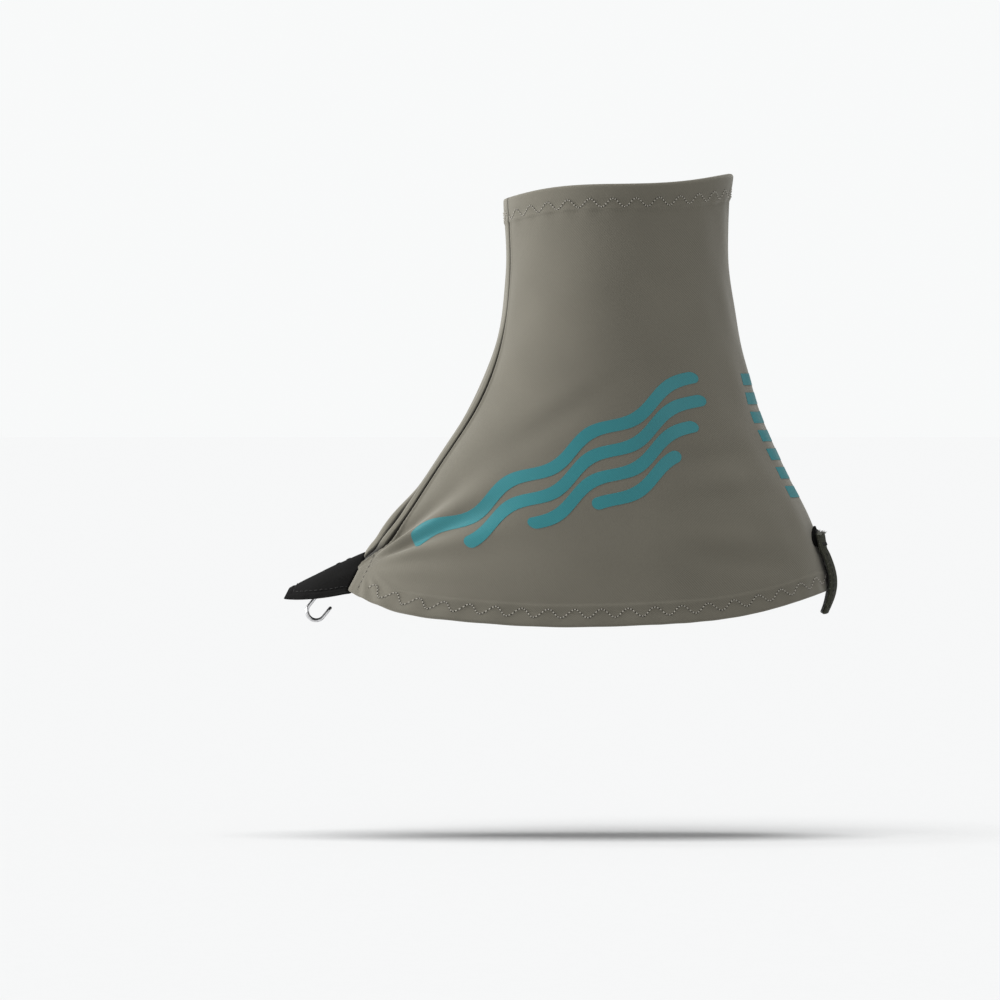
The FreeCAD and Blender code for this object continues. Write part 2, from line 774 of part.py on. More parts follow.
def strap_layer(body_name, label, inner_shift, thick, width):
    """One layer of the strap: arcs that wrap round the heel, lofted from the hinge down."""
    body = new_body(body_name)
    toward_rear = Rotation(Vector(0, 1, 0), Vector(1, 0, 0), Vector(0, 0, -1), "ZXY")
    sketches = []
    count = len(STRAP_SECTIONS)
    for number in range(1, count + 1):
        radius = "sizes.strap_wrap_radius + %s" % inner_shift
        narrowing = LAST_NARROWING if number == count else 1.0
        span = "2 * asin(%s * %.2f / 2 / (%s)) / 1 deg" % (width, narrowing, radius)
        sketch = arc_strip(body, "%s_%d" % (body_name, number), radius, thick, span)
        face = size("strap_face_of_section_%d" % number)
        level = size("strap_level_of_section_%d" % number)
        centre = Vector(face - size("strap_wrap_radius"), 0, level)
        sketch.AttachmentOffset = Placement(centre, toward_rear)
        sketches.append(sketch)
    return loft_body(label, sketches, body)


def build_heel_strap():
    strap_layer("pad_body", "heel_hook_pad", "0", "sizes.pad_thick", "sizes.pad_width")
    strap_layer("strap_body", "heel_strap", "sizes.pad_thick + %.2f" % PAD_GAP,
                "sizes.strap_thick", "sizes.strap_width")


def build_strap_anchor():
    """The sewn end of the strap, flat on the sleeve above the hinge."""
    proud = layer(-ANCHOR_GAP - size("strap_thick"), -ANCHOR_GAP)
    half = size("strap_width") / 2
    low = size("strap_hinge") + HINGE_GAP
    tool = block((BEHIND, -half, low), (REACH, half, size("strap_top")))
    keep_shape(proud.common(tool), "heel_strap_anchor")


BARTACK_LEVELS = (-140.2, -143.6)
BARTACK_WIDTH = 1.8
BARTACK_PITCH = 1.0
BARTACK_MARGIN = 2.5  # from each side of the strap


def build_strap_bartack():
    """Two tight zigzags across the strap's sewn end."""
    proud = skin(-ANCHOR_GAP - size("strap_thick") - size("thread_radius") * THREAD_RISE)
    half = size("strap_width") / 2 - BARTACK_MARGIN
    runs = []
    for level in BARTACK_LEVELS:
        rails = []
        for height in (level, level - BARTACK_WIDTH):
            wire = proud.slice(Vector(0, 0, 1), height)[0]
            ring = wire.discretize(Distance=BARTACK_PITCH)
            kept = [point for point in ring if point.x > BEHIND and abs(point.y) < half]
            rails.append(sorted(kept, key=lambda point: point.y))
        count = min(len(rails[0]), len(rails[1]))
        points = [rails[index % 2][index] for index in range(count)]
        runs += [thread_run(a, b) for a, b in zip(points, points[1:])]
    keep_shape(Part.Compound(runs), "heel_strap_bartack")


STRAP_ROW_INSET = 2.6  # from each side of the strap
STITCHES_PER_STEP = 3  # between two of the strap's sections
STITCH_SHARE = 0.7  # of the pitch; the rest is the gap between two stitches


def build_strap_stitching():
    """A row of stitches down each side of the strap, on its outer face."""
    outer = size("strap_wrap_radius") + size("pad_thick") + size("strap_thick") + PAD_GAP
    outer += size("thread_radius") * THREAD_RISE
    angle = math.asin((size("strap_width") / 2 - STRAP_ROW_INSET) / outer)
    rows = range(1, len(STRAP_SECTIONS))
    runs = []
    for side in (-1, 1):
        for number in rows:
            ends = []
            for section in (number, number + 1):
                centre = size("strap_face_of_section_%d" % section) - size("strap_wrap_radius")
                ends.append(Vector(centre + outer * math.cos(angle), side * outer * math.sin(angle),
                                   size("strap_level_of_section_%d" % section)))
            step = (ends[1] - ends[0]) * (1.0 / STITCHES_PER_STEP)
            for stitch in range(STITCHES_PER_STEP):
                start = ends[0] + step * (stitch + (1 - STITCH_SHARE) / 2)
                runs.append(thread_run(start, start + step * STITCH_SHARE))
    keep_shape(Part.Compound(runs), "heel_strap_stitching")


# ---------------------------------------------------------------------------------------------
# Build, check and write
# ---------------------------------------------------------------------------------------------

def check():
    """Stop unless every object computed and every sub-part is a valid shape."""
    for obj in doc.Objects:
        if "Invalid" in obj.State or "Error" in obj.State:
            raise RuntimeError("%s did not compute: %s" % (obj.Label, obj.State))
    for obj in SUBPARTS:
        if obj.Shape.isNull() or not obj.Shape.isValid():
            raise RuntimeError("%s has no valid shape" % obj.Label)
        if not obj.Shape.Solids:
            raise RuntimeError("%s has no solid" % obj.Label)


def write():
    os.makedirs(OUT_DIR, exist_ok=True)
    for obj in SUBPARTS:
        obj.Shape.exportStep(os.path.join(OUT_DIR, obj.Label + ".step"))
        box = obj.Shape.optimalBoundingBox()
        print("%-22s %3d solids %9.1f mm3  x %7.1f %7.1f  y %6.1f %6.1f  z %7.1f %7.1f" % (
            obj.Label, len(obj.Shape.Solids), obj.Shape.Volume,
            box.XMin, box.XMax, box.YMin, box.YMax, box.ZMin, box.ZMax))


build_sleeve()
build_elastics()
build_seam()
build_hem_stitching()
build_side_print()
build_rear_print()
build_tab_anchor()
build_tab_stitching()
build_front_tab()
build_webbing_loop()
build_lace_hook()
build_loop_bartack()
build_strap_anchor()
build_heel_strap()
build_strap_bartack()
build_strap_stitching()
doc.recompute()
check()
write()
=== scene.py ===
import math

import bpy
import numpy as np
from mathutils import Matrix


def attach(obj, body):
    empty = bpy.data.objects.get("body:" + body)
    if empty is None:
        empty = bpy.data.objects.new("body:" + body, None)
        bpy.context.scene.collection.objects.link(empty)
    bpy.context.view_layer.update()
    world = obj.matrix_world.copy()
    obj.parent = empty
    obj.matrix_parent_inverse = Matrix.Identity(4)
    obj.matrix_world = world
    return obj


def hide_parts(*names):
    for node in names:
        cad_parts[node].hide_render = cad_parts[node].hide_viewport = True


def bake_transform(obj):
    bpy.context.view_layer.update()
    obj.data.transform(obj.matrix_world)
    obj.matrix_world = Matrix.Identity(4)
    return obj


# A low running gaiter. Lengths are in millimetres until a mesh is made, in the CAD frame: the origin
# is the centre of the top opening, -X is the toe side, -Y is the outer side and +Z is up.

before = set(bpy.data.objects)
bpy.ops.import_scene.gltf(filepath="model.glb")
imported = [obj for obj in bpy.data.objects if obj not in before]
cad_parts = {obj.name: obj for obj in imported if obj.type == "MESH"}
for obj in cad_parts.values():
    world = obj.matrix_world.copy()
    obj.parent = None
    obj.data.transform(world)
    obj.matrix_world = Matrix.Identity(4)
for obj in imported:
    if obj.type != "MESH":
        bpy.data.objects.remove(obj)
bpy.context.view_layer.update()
MM = 0.001
UV_MM = 100.0  # millimetres to one unit of UV

# ---- Curves and small helpers ----


class Curve:
    """A smooth curve through points, evaluated on arrays."""

    def __init__(self, points):
        table = np.array(sorted(points), float)
        self.x, self.y = table[:, 0], table[:, 1]
        count = len(self.x)
        gap = np.diff(self.x)
        left = np.eye(count)
        right = np.zeros(count)
        for i in range(1, count - 1):
            left[i, i - 1:i + 2] = gap[i - 1], 2 * (gap[i - 1] + gap[i]), gap[i]
            right[i] = 6 * ((self.y[i + 1] - self.y[i]) / gap[i] - (self.y[i] - self.y[i - 1]) / gap[i - 1])
        self.bend = np.linalg.solve(left, right)

    def __call__(self, at):
        at = np.asarray(at, float)
        i = np.clip(np.searchsorted(self.x, at) - 1, 0, len(self.x) - 2)
        gap = self.x[i + 1] - self.x[i]
        a = (self.x[i + 1] - at) / gap
        b = (at - self.x[i]) / gap
        curve = (a ** 3 - a) * self.bend[i] + (b ** 3 - b) * self.bend[i + 1]
        return a * self.y[i] + b * self.y[i + 1] + curve * gap * gap / 6


def step(low, high, at):
    """0 before low, 1 after high, smooth between. low may be the larger one."""
    t = np.clip((np.asarray(at, float) - low) / (high - low), 0, 1)
    return t * t * (3 - 2 * t)


def hump(distance, width):
    return np.exp(-(distance / width) ** 2)


def unit(v):
    return v / np.maximum(np.linalg.norm(v, axis=-1, keepdims=True), 1e-12)


def wrap(angle):
    return (angle + np.pi) % (2 * np.pi) - np.pi


def travelled(points, axis=0):
    """Distance along each line of points from its start. axis is the one that runs along the lines."""
    lengths = np.linalg.norm(np.diff(points, axis=axis), axis=-1)
    return np.insert(np.cumsum(lengths, axis), 0, 0, axis)


# ---- The sleeve's surface ----

# level, front, rear, half width, widest point: the same table as the CAD sleeve
SECTIONS = ((10.0, -46.6, 47.2, 42.0, 0.0), (-18.0, -45.8, 44.7, 40.6, 0.0), (-45.0, -46.3, 46.6, 40.2, 0.5),
            (-75.0, -53.6, 52.9, 40.8, 1.0), (-105.0, -69.9, 63.3, 42.6, 3.0),
            (-130.0, -87.4, 75.6, 44.8, 6.0), (-152.0, -105.4, 84.0, 46.6, 9.0),
            (-184.0, -136.0, 86.8, 48.2, 14.0))
FRONT, REAR, HALF, WIDEST = (Curve([(row[0], row[k]) for row in SECTIONS]) for k in range(1, 5))

RIDGE = np.array((-101.0, -146.2))
CORNER = np.array((-109.9, -163.8))
TOP = Curve(((-62, -9.5), (-46.8, -5.0), (-30, -1.3), (0, 0.4), (30, 2.1), (46.8, 5.2), (62, 8.6)))
BOTTOM = Curve((tuple(CORNER), (-95.4, -170.4), (-68.6, -175.4), (-29.4, -178.0), (12.1, -177.2),
                (53.7, -173.0), (85.1, -164.2), (96.0, -160.6)))
PLANE_UP = (RIDGE - CORNER) / np.linalg.norm(RIDGE - CORNER)
PLANE_BACK = np.array((PLANE_UP[1], -PLANE_UP[0]))

CLOTH = 0.8
GAP = 0.1
ELASTIC = 0.7
HEM_INNER = 2 * CLOTH + ELASTIC + 2 * GAP
TOP_HEM = 10.0
BOTTOM_HEM = 8.5
TOP_STITCH = 7.5
BOTTOM_STITCH = 5.4
TOP_PITCH = 9.4
BOTTOM_PITCH = 10.8
SWING = 1.75

SEAM_Y = Curve(((5, -11), (-30, -11), (-58, -11.4), (-80, -13.6), (-105, -12.3), (-127, -12.4),
                (-141, -13.9), (-147, -12.8), (-152, -9.8), (-165, -6.0)))
FOLD_POINT = np.array((-103.0, -153.0))  # side view: the front folds run to this point


def seam_angle(z):
    return -np.arcsin(-SEAM_Y(z) / HALF(z))


def reach_and_turn(angle, z):
    """Half the sleeve's length on the angle's side of the widest point, and the angle's cosine and sine."""
    c, s = np.cos(angle), np.sin(angle)
    return np.where(c > 0, WIDEST(z) - FRONT(z), REAR(z) - WIDEST(z)), c, s


def base(angle, z):
    """The plain egg-shaped sleeve. Angle 0 is the front and a negative angle is the outer side."""
    reach, c, s = reach_and_turn(angle, z)
    return np.stack([WIDEST(z) - reach * c, HALF(z) * s, z + 0 * c], -1)


def behind_plane(x, z):
    """Distance behind the slanting front edge, in the side view."""
    return (x - CORNER[0]) * PLANE_BACK[0] + (z - CORNER[1]) * PLANE_BACK[1]


def from_seam(angle, z):
    """Distance round the sleeve from the seam, positive towards the inner side."""
    reach, c, s = reach_and_turn(angle, z)
    return wrap(angle - seam_angle(z)) * np.sqrt((reach * s) ** 2 + (HALF(z) * c) ** 2)


def second_fold(z):
    """How far beyond the seam the second fold lies."""
    return 7.4 - 3.4 * step(-128.0, -152.0, z)


def pocket(across, z):
    """The small hollow where the seam and the second fold run together."""
    return (step(-143.5, -148.0, z) * step(-156.0, -152.5, z)
            * step(-0.6, 0.2, across) * step(second_fold(z) + 0.3, second_fold(z) - 0.8, across))


def fold_shade_depth(angle, z):
    """How deep the cloth lies in the seam and in the second fold: 0 outside them and 1 at the bottom. It sets
    how much painted shade the cloth gets there.
    """
    across = from_seam(angle, z)
    low = step(-50.0, -84.0, z)
    seam = (0.55 + 0.45 * low) * step(-0.7, -0.3, across) * step(0.8, 0.2, across)
    beyond = across - second_fold(z)
    second = step(-121.0, -136.0, z) * step(-0.8, -0.3, beyond) * step(0.85, 0.2, beyond)
    return np.clip(np.maximum(np.maximum(seam, second), pocket(across, z)), 0, 1)


def lip(across):
    """The rounded edge of a fold: a short steep side, then an easy rise to its full height."""
    return 0.5 * step(-0.2, 0.4, across) + 0.5 * step(0.2, 2.4, across)


def relief(angle, p):
    """How far the cloth stands off the plain form: hems, seam, folds and tension lines."""
    x, y, z = p[..., 0], p[..., 1], p[..., 2]
    near = step(2.0, -6.0, y)
    far = 1 - near
    drop = TOP(x) - z
    rise = z - BOTTOM(x)
    edge = behind_plane(x, z)
    out = np.zeros_like(x)

    # hems stand proud, with a soft groove and puckers along their stitches
    top_hem = step(10.9, 9.7, drop)
    bottom_hem = step(9.4, 8.3, rise) * step(-103.0, -97.0, x)
    out += 0.5 * top_hem + 0.35 * bottom_hem
    around = np.unwrap(angle) if angle.ndim == 1 else angle
    top_wave = np.cos(around * 29)
    low_wave = np.cos(around * 41 + 0.7)
    out -= 0.3 * hump(drop - TOP_STITCH, 2.1)
    out -= 0.3 * hump(rise - BOTTOM_STITCH, 2.1) * step(-104.0, -99.0, x)
    out += 0.14 * top_wave * hump(drop - TOP_STITCH - 2.0, 3.2) * step(0.5, 3.0, drop)
    out += 0.16 * low_wave * hump(rise - BOTTOM_STITCH + 1.5, 4.5) * step(-104.0, -96.0, x)
    out -= 0.18 * step(1.6, 0.0, drop)

    # the front seam: a pulled-in line between two lips
    across = from_seam(angle, z)
    lower = step(-48.0, -80.0, z)
    lowest = step(-118.0, -146.0, z)
    flat = 1 - 0.6 * top_hem
    ending = 1 - 0.75 * step(-139.0, -151.0, z)
    out -= (0.55 + 0.75 * lower + 0.3 * lowest) * flat * hump(across + 0.15, 0.5)
    out += (0.35 + 0.85 * lower) * ending * flat * lip(across) * step(6.2, 2.2, across)
    out += (0.20 + 0.28 * lower) * flat * hump(across + 1.6, 0.85)
    # the near lip is puckered by the thread where the folds end
    out += 0.2 * lowest * np.sin(z * 3.4) * hump(across + 2.2, 1.6)
    # a second fold on the inner side of the seam, low down
    beyond = across - second_fold(z)
    second = step(-119.0, -138.0, z)
    out -= 1.2 * second * hump(beyond + 0.1, 0.6)
    out += 1.9 * second * ending * lip(beyond) * step(8.5, 3.2, beyond)

    out -= 0.9 * pocket(across, z)

    # folds that run to the end of the seam
    dx, dz = x - FOLD_POINT[0], z - FOLD_POINT[1]
    far_off = np.hypot(dx, dz)
    turn = np.degrees(np.arctan2(dz, dx))
    grow = step(4.0, 20.0, far_off)
    fade = step(78.0, 30.0, far_off)
    spread = 1.0 + far_off / 140.0
    for where, size, wide in ((40.0, -2.0, 3.8), (32.0, 1.6, 3.8), (23.0, -1.3, 3.8), (14.0, 0.8, 4.4),
                              (3.0, -0.5, 5.0), (-9.0, 0.3, 5.0)):
        out += near * size * grow * fade * hump(turn - where, wide * spread)
    for where, size, wide in ((42.0, -0.9, 5.0), (33.0, 0.8, 5.0), (24.0, -0.8, 4.6), (10.0, 0.3, 6.0)):
        out += far * size * grow * fade * hump(turn - where, wide * spread)
    # the gathered cloth just behind the end of the seam
    gather = hump(far_off - 12.0, 7.0) * step(3.0, 9.0, far_off)
    out += 0.22 * gather * np.sin(np.radians(turn) * 15.0) * step(1.5, 5.0, edge)

    # broad hollows over the ankle bones, at the heel and in front
    for side, cx, cz, size, wide, high, tilt in (
            (near, 40.0, -110.0, -1.0, 17.0, 5.0, 0.10), (near, 44.0, -120.0, 0.7, 18.0, 4.5, 0.10),
            (near, 50.0, -152.0, -0.9, 20.0, 5.0, -0.12), (near, 48.0, -143.0, 0.6, 20.0, 5.0, -0.08),
            (near, -32.0, -99.0, -0.6, 20.0, 6.0, 0.55), (near, -24.0, -86.0, 0.4, 18.0, 6.0, 0.55),
            (near, 56.0, -92.0, -0.8, 9.0, 10.0, 0.0), (near, -70.0, -160.0, -0.4, 20.0, 5.0, -0.06),
            (far, 36.0, -106.0, -0.9, 16.0, 5.0, 0.16), (far, 40.0, -116.0, 0.7, 17.0, 5.0, 0.16),
            (far, 46.0, -150.0, -0.8, 20.0, 5.0, -0.1), (far, -28.0, -96.0, -0.6, 20.0, 6.0, 0.5),
            (far, -60.0, -150.0, -0.5, 20.0, 6.0, 0.1)):
        out += side * size * hump(x - cx, wide) * hump(z - cz - tilt * (x - cx), high)

    # slight unevenness of a worn cloth
    calm = step(0.0, 14.0, drop) * step(0.0, 12.0, rise)
    out += 0.16 * calm * np.sin(x * 0.115 + z * 0.07 + 0.4 * y) * np.cos(z * 0.095 - x * 0.04)
    out += 0.10 * calm * np.sin(x * 0.05 - z * 0.21 + 1.3)

    # the slanting front edge turns up in a fine lip
    out += 0.4 * hump(edge - 1.0, 1.1) * step(-96.0, -101.0, x)
    return out


STEP = 1e-3


def plain_normal(angle, z):
    a = base(angle + STEP, z) - base(angle - STEP, z)
    b = base(angle, z + STEP * 40) - base(angle, z - STEP * 40)
    return unit(np.cross(b, a))


def outer(angle, z):
    p = base(angle, z)
    return p + plain_normal(angle, z) * relief(angle, p)[..., None]


def normal(angle, z):
    a = outer(angle + STEP * 4, z) - outer(angle - STEP * 4, z)
    b = outer(angle, z + STEP * 160) - outer(angle, z - STEP * 160)
    return unit(np.cross(b, a))


def on_sleeve(angle, z, inset):
    """A point on the worn cloth, moved in by inset."""
    return outer(angle, z) - normal(angle, z) * np.asarray(inset)[..., None]


# Columns run round the sleeve from the seam and back to it, closer together near the seam.
CROWD = 0.78


def column_angle(q, z):
    return seam_angle(z) + 2 * np.pi * (q - CROWD * np.sin(2 * np.pi * q) / (2 * np.pi))


def find_top(q):
    z = np.zeros_like(q)
    for _ in range(30):
        z = TOP(base(column_angle(q, z), z)[..., 0])
    return z


def find_bottom(q):
    high = np.full_like(q, -120.0)
    low = np.full_like(q, -183.0)
    for _ in range(40):
        mid = (high + low) / 2
        x = base(column_angle(q, mid), mid)[..., 0]
        above = mid - np.where(x > CORNER[0], BOTTOM(x), CORNER[1])
        inside = np.minimum(behind_plane(x, mid), above) > 0
        high = np.where(inside, mid, high)
        low = np.where(inside, low, mid)
    return high


Q_TABLE = np.linspace(0, 1, 4001)
Z_TOP = find_top(Q_TABLE)
Z_BOTTOM = find_bottom(Q_TABLE)


def column_z(q, v):
    """Height on a column: v is 0 at the top edge and 1 at the bottom edge."""
    high = np.interp(q % 1.0, Q_TABLE, Z_TOP)
    low = np.interp(q % 1.0, Q_TABLE, Z_BOTTOM)
    return high + (low - high) * v


# ---- Meshes ----


def put(name, data):
    """A new object in the scene."""
    obj = bpy.data.objects.new(name, data)
    bpy.context.scene.collection.objects.link(obj)
    return obj


def make_mesh(name, points, faces, corner_uv, materials, slots=None):
    """An object from points in millimetres and rows of four indices."""
    points = np.asarray(points, float).reshape(-1, 3) * MM
    faces = np.asarray(faces, np.int32)
    mesh = bpy.data.meshes.new(name)
    mesh.vertices.add(len(points))
    mesh.vertices.foreach_set("co", points.astype(np.float32).ravel())
    mesh.loops.add(faces.size)
    mesh.loops.foreach_set("vertex_index", faces.ravel())
    mesh.polygons.add(len(faces))
    mesh.polygons.foreach_set("loop_start", np.arange(0, faces.size, 4, dtype=np.int32))
    mesh.polygons.foreach_set("loop_total", np.full(len(faces), 4, np.int32))
    layer = mesh.uv_layers.new(name="cloth")
    layer.data.foreach_set("uv", (np.asarray(corner_uv) / UV_MM).astype(np.float32).ravel())
    for material in materials:
        mesh.materials.append(material)
    if slots is not None:
        mesh.polygons.foreach_set("material_index", np.asarray(slots, np.int32))
    mesh.polygons.foreach_set("use_smooth", np.full(len(faces), True))
    mesh.update(calc_edges=True)
    mesh.validate()
    return put(name, mesh)


class Parts:
    """Collects quads, with UVs and material slots, for one object."""

    def __init__(self):
        self.points, self.faces, self.uvs, self.slots = [], [], [], []
        self.count = 0

    def add(self, points, faces, uv, slot=0):
        points = np.asarray(points, float).reshape(-1, 3)
        faces = np.asarray(faces, np.int64).reshape(-1, 4)
        self.points.append(points)
        self.faces.append(faces + self.count)
        self.uvs.append(np.asarray(uv, float).reshape(-1, 4, 2))
        self.slots.append(np.full(len(faces), slot))
        self.count += len(points)

    def make(self, name, *materials):
        return make_mesh(name, np.concatenate(self.points), np.concatenate(self.faces),
                         np.concatenate(self.uvs), materials, np.concatenate(self.slots))


def grid_faces(rows, columns, close_rows=False, close_columns=False):
    """Quads of a grid, and for each corner its row and column before wrapping."""
    i = np.arange(rows if close_rows else rows - 1)
    j = np.arange(columns if close_columns else columns - 1)
    i, j = (a.ravel() for a in np.meshgrid(i, j, indexing="ij"))
    ri = np.stack([i, i + 1, i + 1, i], -1)
    rj = np.stack([j, j, j + 1, j + 1], -1)
    return (ri % rows) * columns + (rj % columns), ri, rj


def pair_up(first, second):
    """Two measures of a grid as one array, such as UVs."""
    return np.stack(np.broadcast_arrays(first, second), -1)


def slab(parts, top, low, uv, rim=0.3):
    """A thin solid between two grids of points, with rounded edges."""
    rows, columns = top.shape[:2]
    face, ri, rj = grid_faces(rows, columns)
    corner = uv[ri, rj]
    parts.add(top, face, corner)
    parts.add(low, face[:, ::-1], corner[:, ::-1])
    ring = [(0, j) for j in range(columns)] + [(i, columns - 1) for i in range(1, rows)]
    ring += [(rows - 1, j) for j in range(columns - 2, -1, -1)] + [(i, 0) for i in range(rows - 2, 0, -1)]
    i, j = np.array(ring).T
    inner_i, inner_j = np.clip(i, 1, rows - 2), np.clip(j, 1, columns - 2)
    upper, under = top[i, j], low[i, j]
    middle = (upper + under) / 2
    away = unit(middle - (top[inner_i, inner_j] + low[inner_i, inner_j]) / 2)
    thick = np.linalg.norm(upper - under, axis=-1, keepdims=True)
    strip = np.stack([upper, middle + away * thick * rim, under])
    face, _, rj = grid_faces(3, len(ring), close_columns=True)
    parts.add(strip, face, uv[i, j][rj % len(ring)])


LEANING = (0.13, 0.21, 0.97)  # a way that no thread runs


def tubes(parts, paths, radius, slot=0, up=LEANING, sides=6):
    """Closed round threads along paths, an array of (thread, point, xyz), with tapered ends.

    The number of sides is even, because each end is closed with quads.
    """
    paths = np.asarray(paths, float)
    number, length = paths.shape[:2]
    along = unit(np.gradient(paths, axis=1))
    side = unit(np.cross(along, np.broadcast_to(np.asarray(up), paths.shape)))
    lift = unit(np.cross(side, along))
    turn = np.linspace(0, 2 * np.pi, sides, endpoint=False)[:, None]
    widths = np.ones(length)
    widths[0] = widths[-1] = 0.35
    ring = side[:, :, None] * np.cos(turn) + lift[:, :, None] * np.sin(turn)
    points = paths[:, :, None] + ring * radius * widths[:, None, None]
    face, ri, rj = grid_faces(length, sides, close_columns=True)
    uv = pair_up(travelled(paths, 1)[:, ri], rj / sides)
    fan = [(0, k, k + 1, k + 2) for k in range(1, sides - 2, 2)]
    caps = [quad[::-1] for quad in fan] + [tuple(at + (length - 1) * sides for at in quad) for quad in fan]
    faces = np.concatenate([face, caps])[None] + (np.arange(number) * length * sides)[:, None, None]
    uv = np.concatenate([uv, np.zeros((number, len(caps), 4, 2))], 1)
    parts.add(points, faces, uv, slot)


def stitches(parts, holes, ups, gap, radius, lift=0.2, slot=0):
    """Threads that come up near one hole, arch over the cloth and go down near the next."""
    starts = holes[:-1] * (1 - gap) + holes[1:] * gap
    ends = holes[:-1] * gap + holes[1:] * (1 - gap)
    t = np.linspace(0, 1, 5)[:, None]
    arch = np.sin(np.pi * t)
    ways = starts[:, None] * (1 - t) + ends[:, None] * t + ups[:-1, None] * (lift * arch - 0.12 * (1 - arch))
    tubes(parts, ways, radius, slot, ups[:-1, None])


def dots(parts, centres, normals, radius):
    """Small round marks, such as needle holes, in the second material; there it is near black, painted shade
    for the holes.
    """
    across = unit(np.cross(normals, np.array((0.2, 0.1, 0.97))))
    turn = np.linspace(0, 2 * np.pi, 8, endpoint=False)[:, None]
    rim = across[:, None] * np.cos(turn) + np.cross(normals, across)[:, None] * np.sin(turn)
    centres, normals = centres[:, None], normals[:, None]
    top = centres + rim * radius * 0.5 + normals * 0.03
    low = centres + rim * radius - normals * 0.12
    points = np.stack([np.repeat(centres - normals * 0.02, 8, 1), top, low], 1)
    face = grid_faces(3, 8, close_columns=True)[0]
    faces = face[None] + (np.arange(len(centres)) * 24)[:, None, None]
    parts.add(points, faces, np.zeros(faces.shape + (2,)), 1)


def zigzag(parts, points, radius, slot=0, up=LEANING):
    """One thread from each point to the next."""
    tubes(parts, np.stack([points[:-1], (points[:-1] + points[1:]) / 2, points[1:]], 1), radius, slot, up)


# ---- Materials ----


class Nodes:
    """A material's node tree, with short calls to add and join nodes."""

    def __init__(self, name, rough, sheen=0.0, sheen_rough=0.5, tint=(1, 1, 1), metal=0.0, specular=0.5):
        self.material = bpy.data.materials.new(name)
        self.material.use_nodes = True
        self.tree = self.material.node_tree
        self.shader = self.tree.nodes["Principled BSDF"]
        for socket, value in (("Roughness", rough), ("Metallic", metal), ("Specular IOR Level", specular),
                              ("Sheen Weight", sheen), ("Sheen Roughness", sheen_rough),
                              ("Sheen Tint", tuple(tint) + (1.0,))):
            self.shader.inputs[socket].default_value = value

    def add(self, kind, inputs, output=0, **settings):
        """A node's output, with its inputs set to values or joined to other nodes' outputs."""
        node = self.tree.nodes.new("ShaderNode" + kind)
        for key, value in settings.items():
            setattr(node, key, value)
        for key, value in inputs.items():
            if isinstance(value, bpy.types.NodeSocket):
                self.tree.links.new(value, node.inputs[key])
            else:
                node.inputs[key].default_value = value
        return node.outputs[output]

    def coords(self, kind, scale):
        return self.add("Mapping", {"Vector": self.add("TexCoord", {}, kind), "Scale": scale})

    def millimetres(self):
        return self.coords("UV", (UV_MM, UV_MM, 1))

    def wave(self, vector, scale, direction, warp):
        inputs = {"Vector": vector, "Scale": scale, "Distortion": warp, "Detail": 1.0}
        return self.add("TexWave", inputs, "Fac", wave_type="BANDS", bands_direction=direction)

    def noise(self, vector, scale, detail=3.0, rough=0.5):
        inputs = {"Vector": vector, "Scale": scale, "Detail": detail, "Roughness": rough}
        return self.add("TexNoise", inputs, "Fac")

    def maths(self, operation, a, b):
        return self.add("Math", {0: a, 1: b}, operation=operation)

    def weigh(self, *terms, plus=None):
        """The sum of the terms, each an output and its weight, plus a constant or another output."""
        total = plus
        for socket, weight in terms:
            term = self.maths("MULTIPLY", socket, weight)
            total = term if total is None else self.maths("ADD", term, total)
        return total

    def ramp(self, factor, stops):
        node = self.tree.nodes.new("ShaderNodeValToRGB")
        ends = node.color_ramp.elements
        while len(ends) < len(stops):
            ends.new(0.5)
        for element, (place, colour) in zip(ends, stops):
            element.position = place
            element.color = tuple(colour) + (1.0,)
        self.tree.links.new(factor, node.inputs["Fac"])
        return node.outputs["Color"]

    def finish(self, colour, rough=None, height=None, distance=0.0, strength=1.0):
        """Join the colour, the roughness and the bump to the shader."""
        self.tree.links.new(colour, self.shader.inputs["Base Color"])
        if rough is not None:
            self.tree.links.new(rough, self.shader.inputs["Roughness"])
        if height is not None:
            bump = self.add("Bump", {"Strength": strength, "Distance": distance, "Height": height}, "Normal")
            self.tree.links.new(bump, self.shader.inputs["Normal"])
        return self.material


def shade(colour, factor):
    return tuple(min(1.0, channel * factor) for channel in colour)


# A wave texture repeats every 0.314 / scale along X or Y, and every 0.628 / scale along the diagonal sum.
BAND = 2 * math.pi / 20
DIAGONAL = 2 * math.pi / 10
TWILL = 0.72


def cloth_material(name, colour, period=TWILL, sheen=0.35, bump=0.06, tint=(0.9, 0.88, 0.82), specular=0.25,
                   folds=False):
    """Twill: fine diagonal ribs, crossed by yarns, with flecked yarn and faint cloudiness."""
    n = Nodes(name, 0.85, sheen, 0.45, tint, specular=specular)
    mm = n.millimetres()
    twill = n.wave(mm, DIAGONAL / (period * math.sqrt(2)), "DIAGONAL", 0.6)
    yarn = n.wave(mm, BAND / (period * 0.62), "X", 0.9)
    grain = n.noise(mm, 1.9, 4.0, 0.65)
    cloud = n.noise(mm, 0.035, 2.0)
    height = n.weigh((twill, 0.7), (yarn, 0.3))
    mix = n.weigh((cloud, 0.22), (grain, 0.28), (height, 0.24))
    yarns = n.ramp(mix, ((0.10, shade(colour, 0.74)), (0.78, shade(colour, 1.24))))
    if folds:
        # painted shade: deep in the seam and the second fold the colour is mixed towards a tenth of itself,
        # standing in for the shadow there
        inside = n.add("Attribute", {}, "Fac", attribute_name="fold", attribute_type="GEOMETRY")
        yarns = n.add("Mix", {0: inside, 6: yarns, 7: shade(colour, 0.10) + (1.0,)}, 2, data_type="RGBA")
    rough = n.weigh((grain, 0.14), plus=0.78)
    return n.finish(yarns, rough, n.weigh((grain, 0.35), plus=height), bump * MM, 0.7)


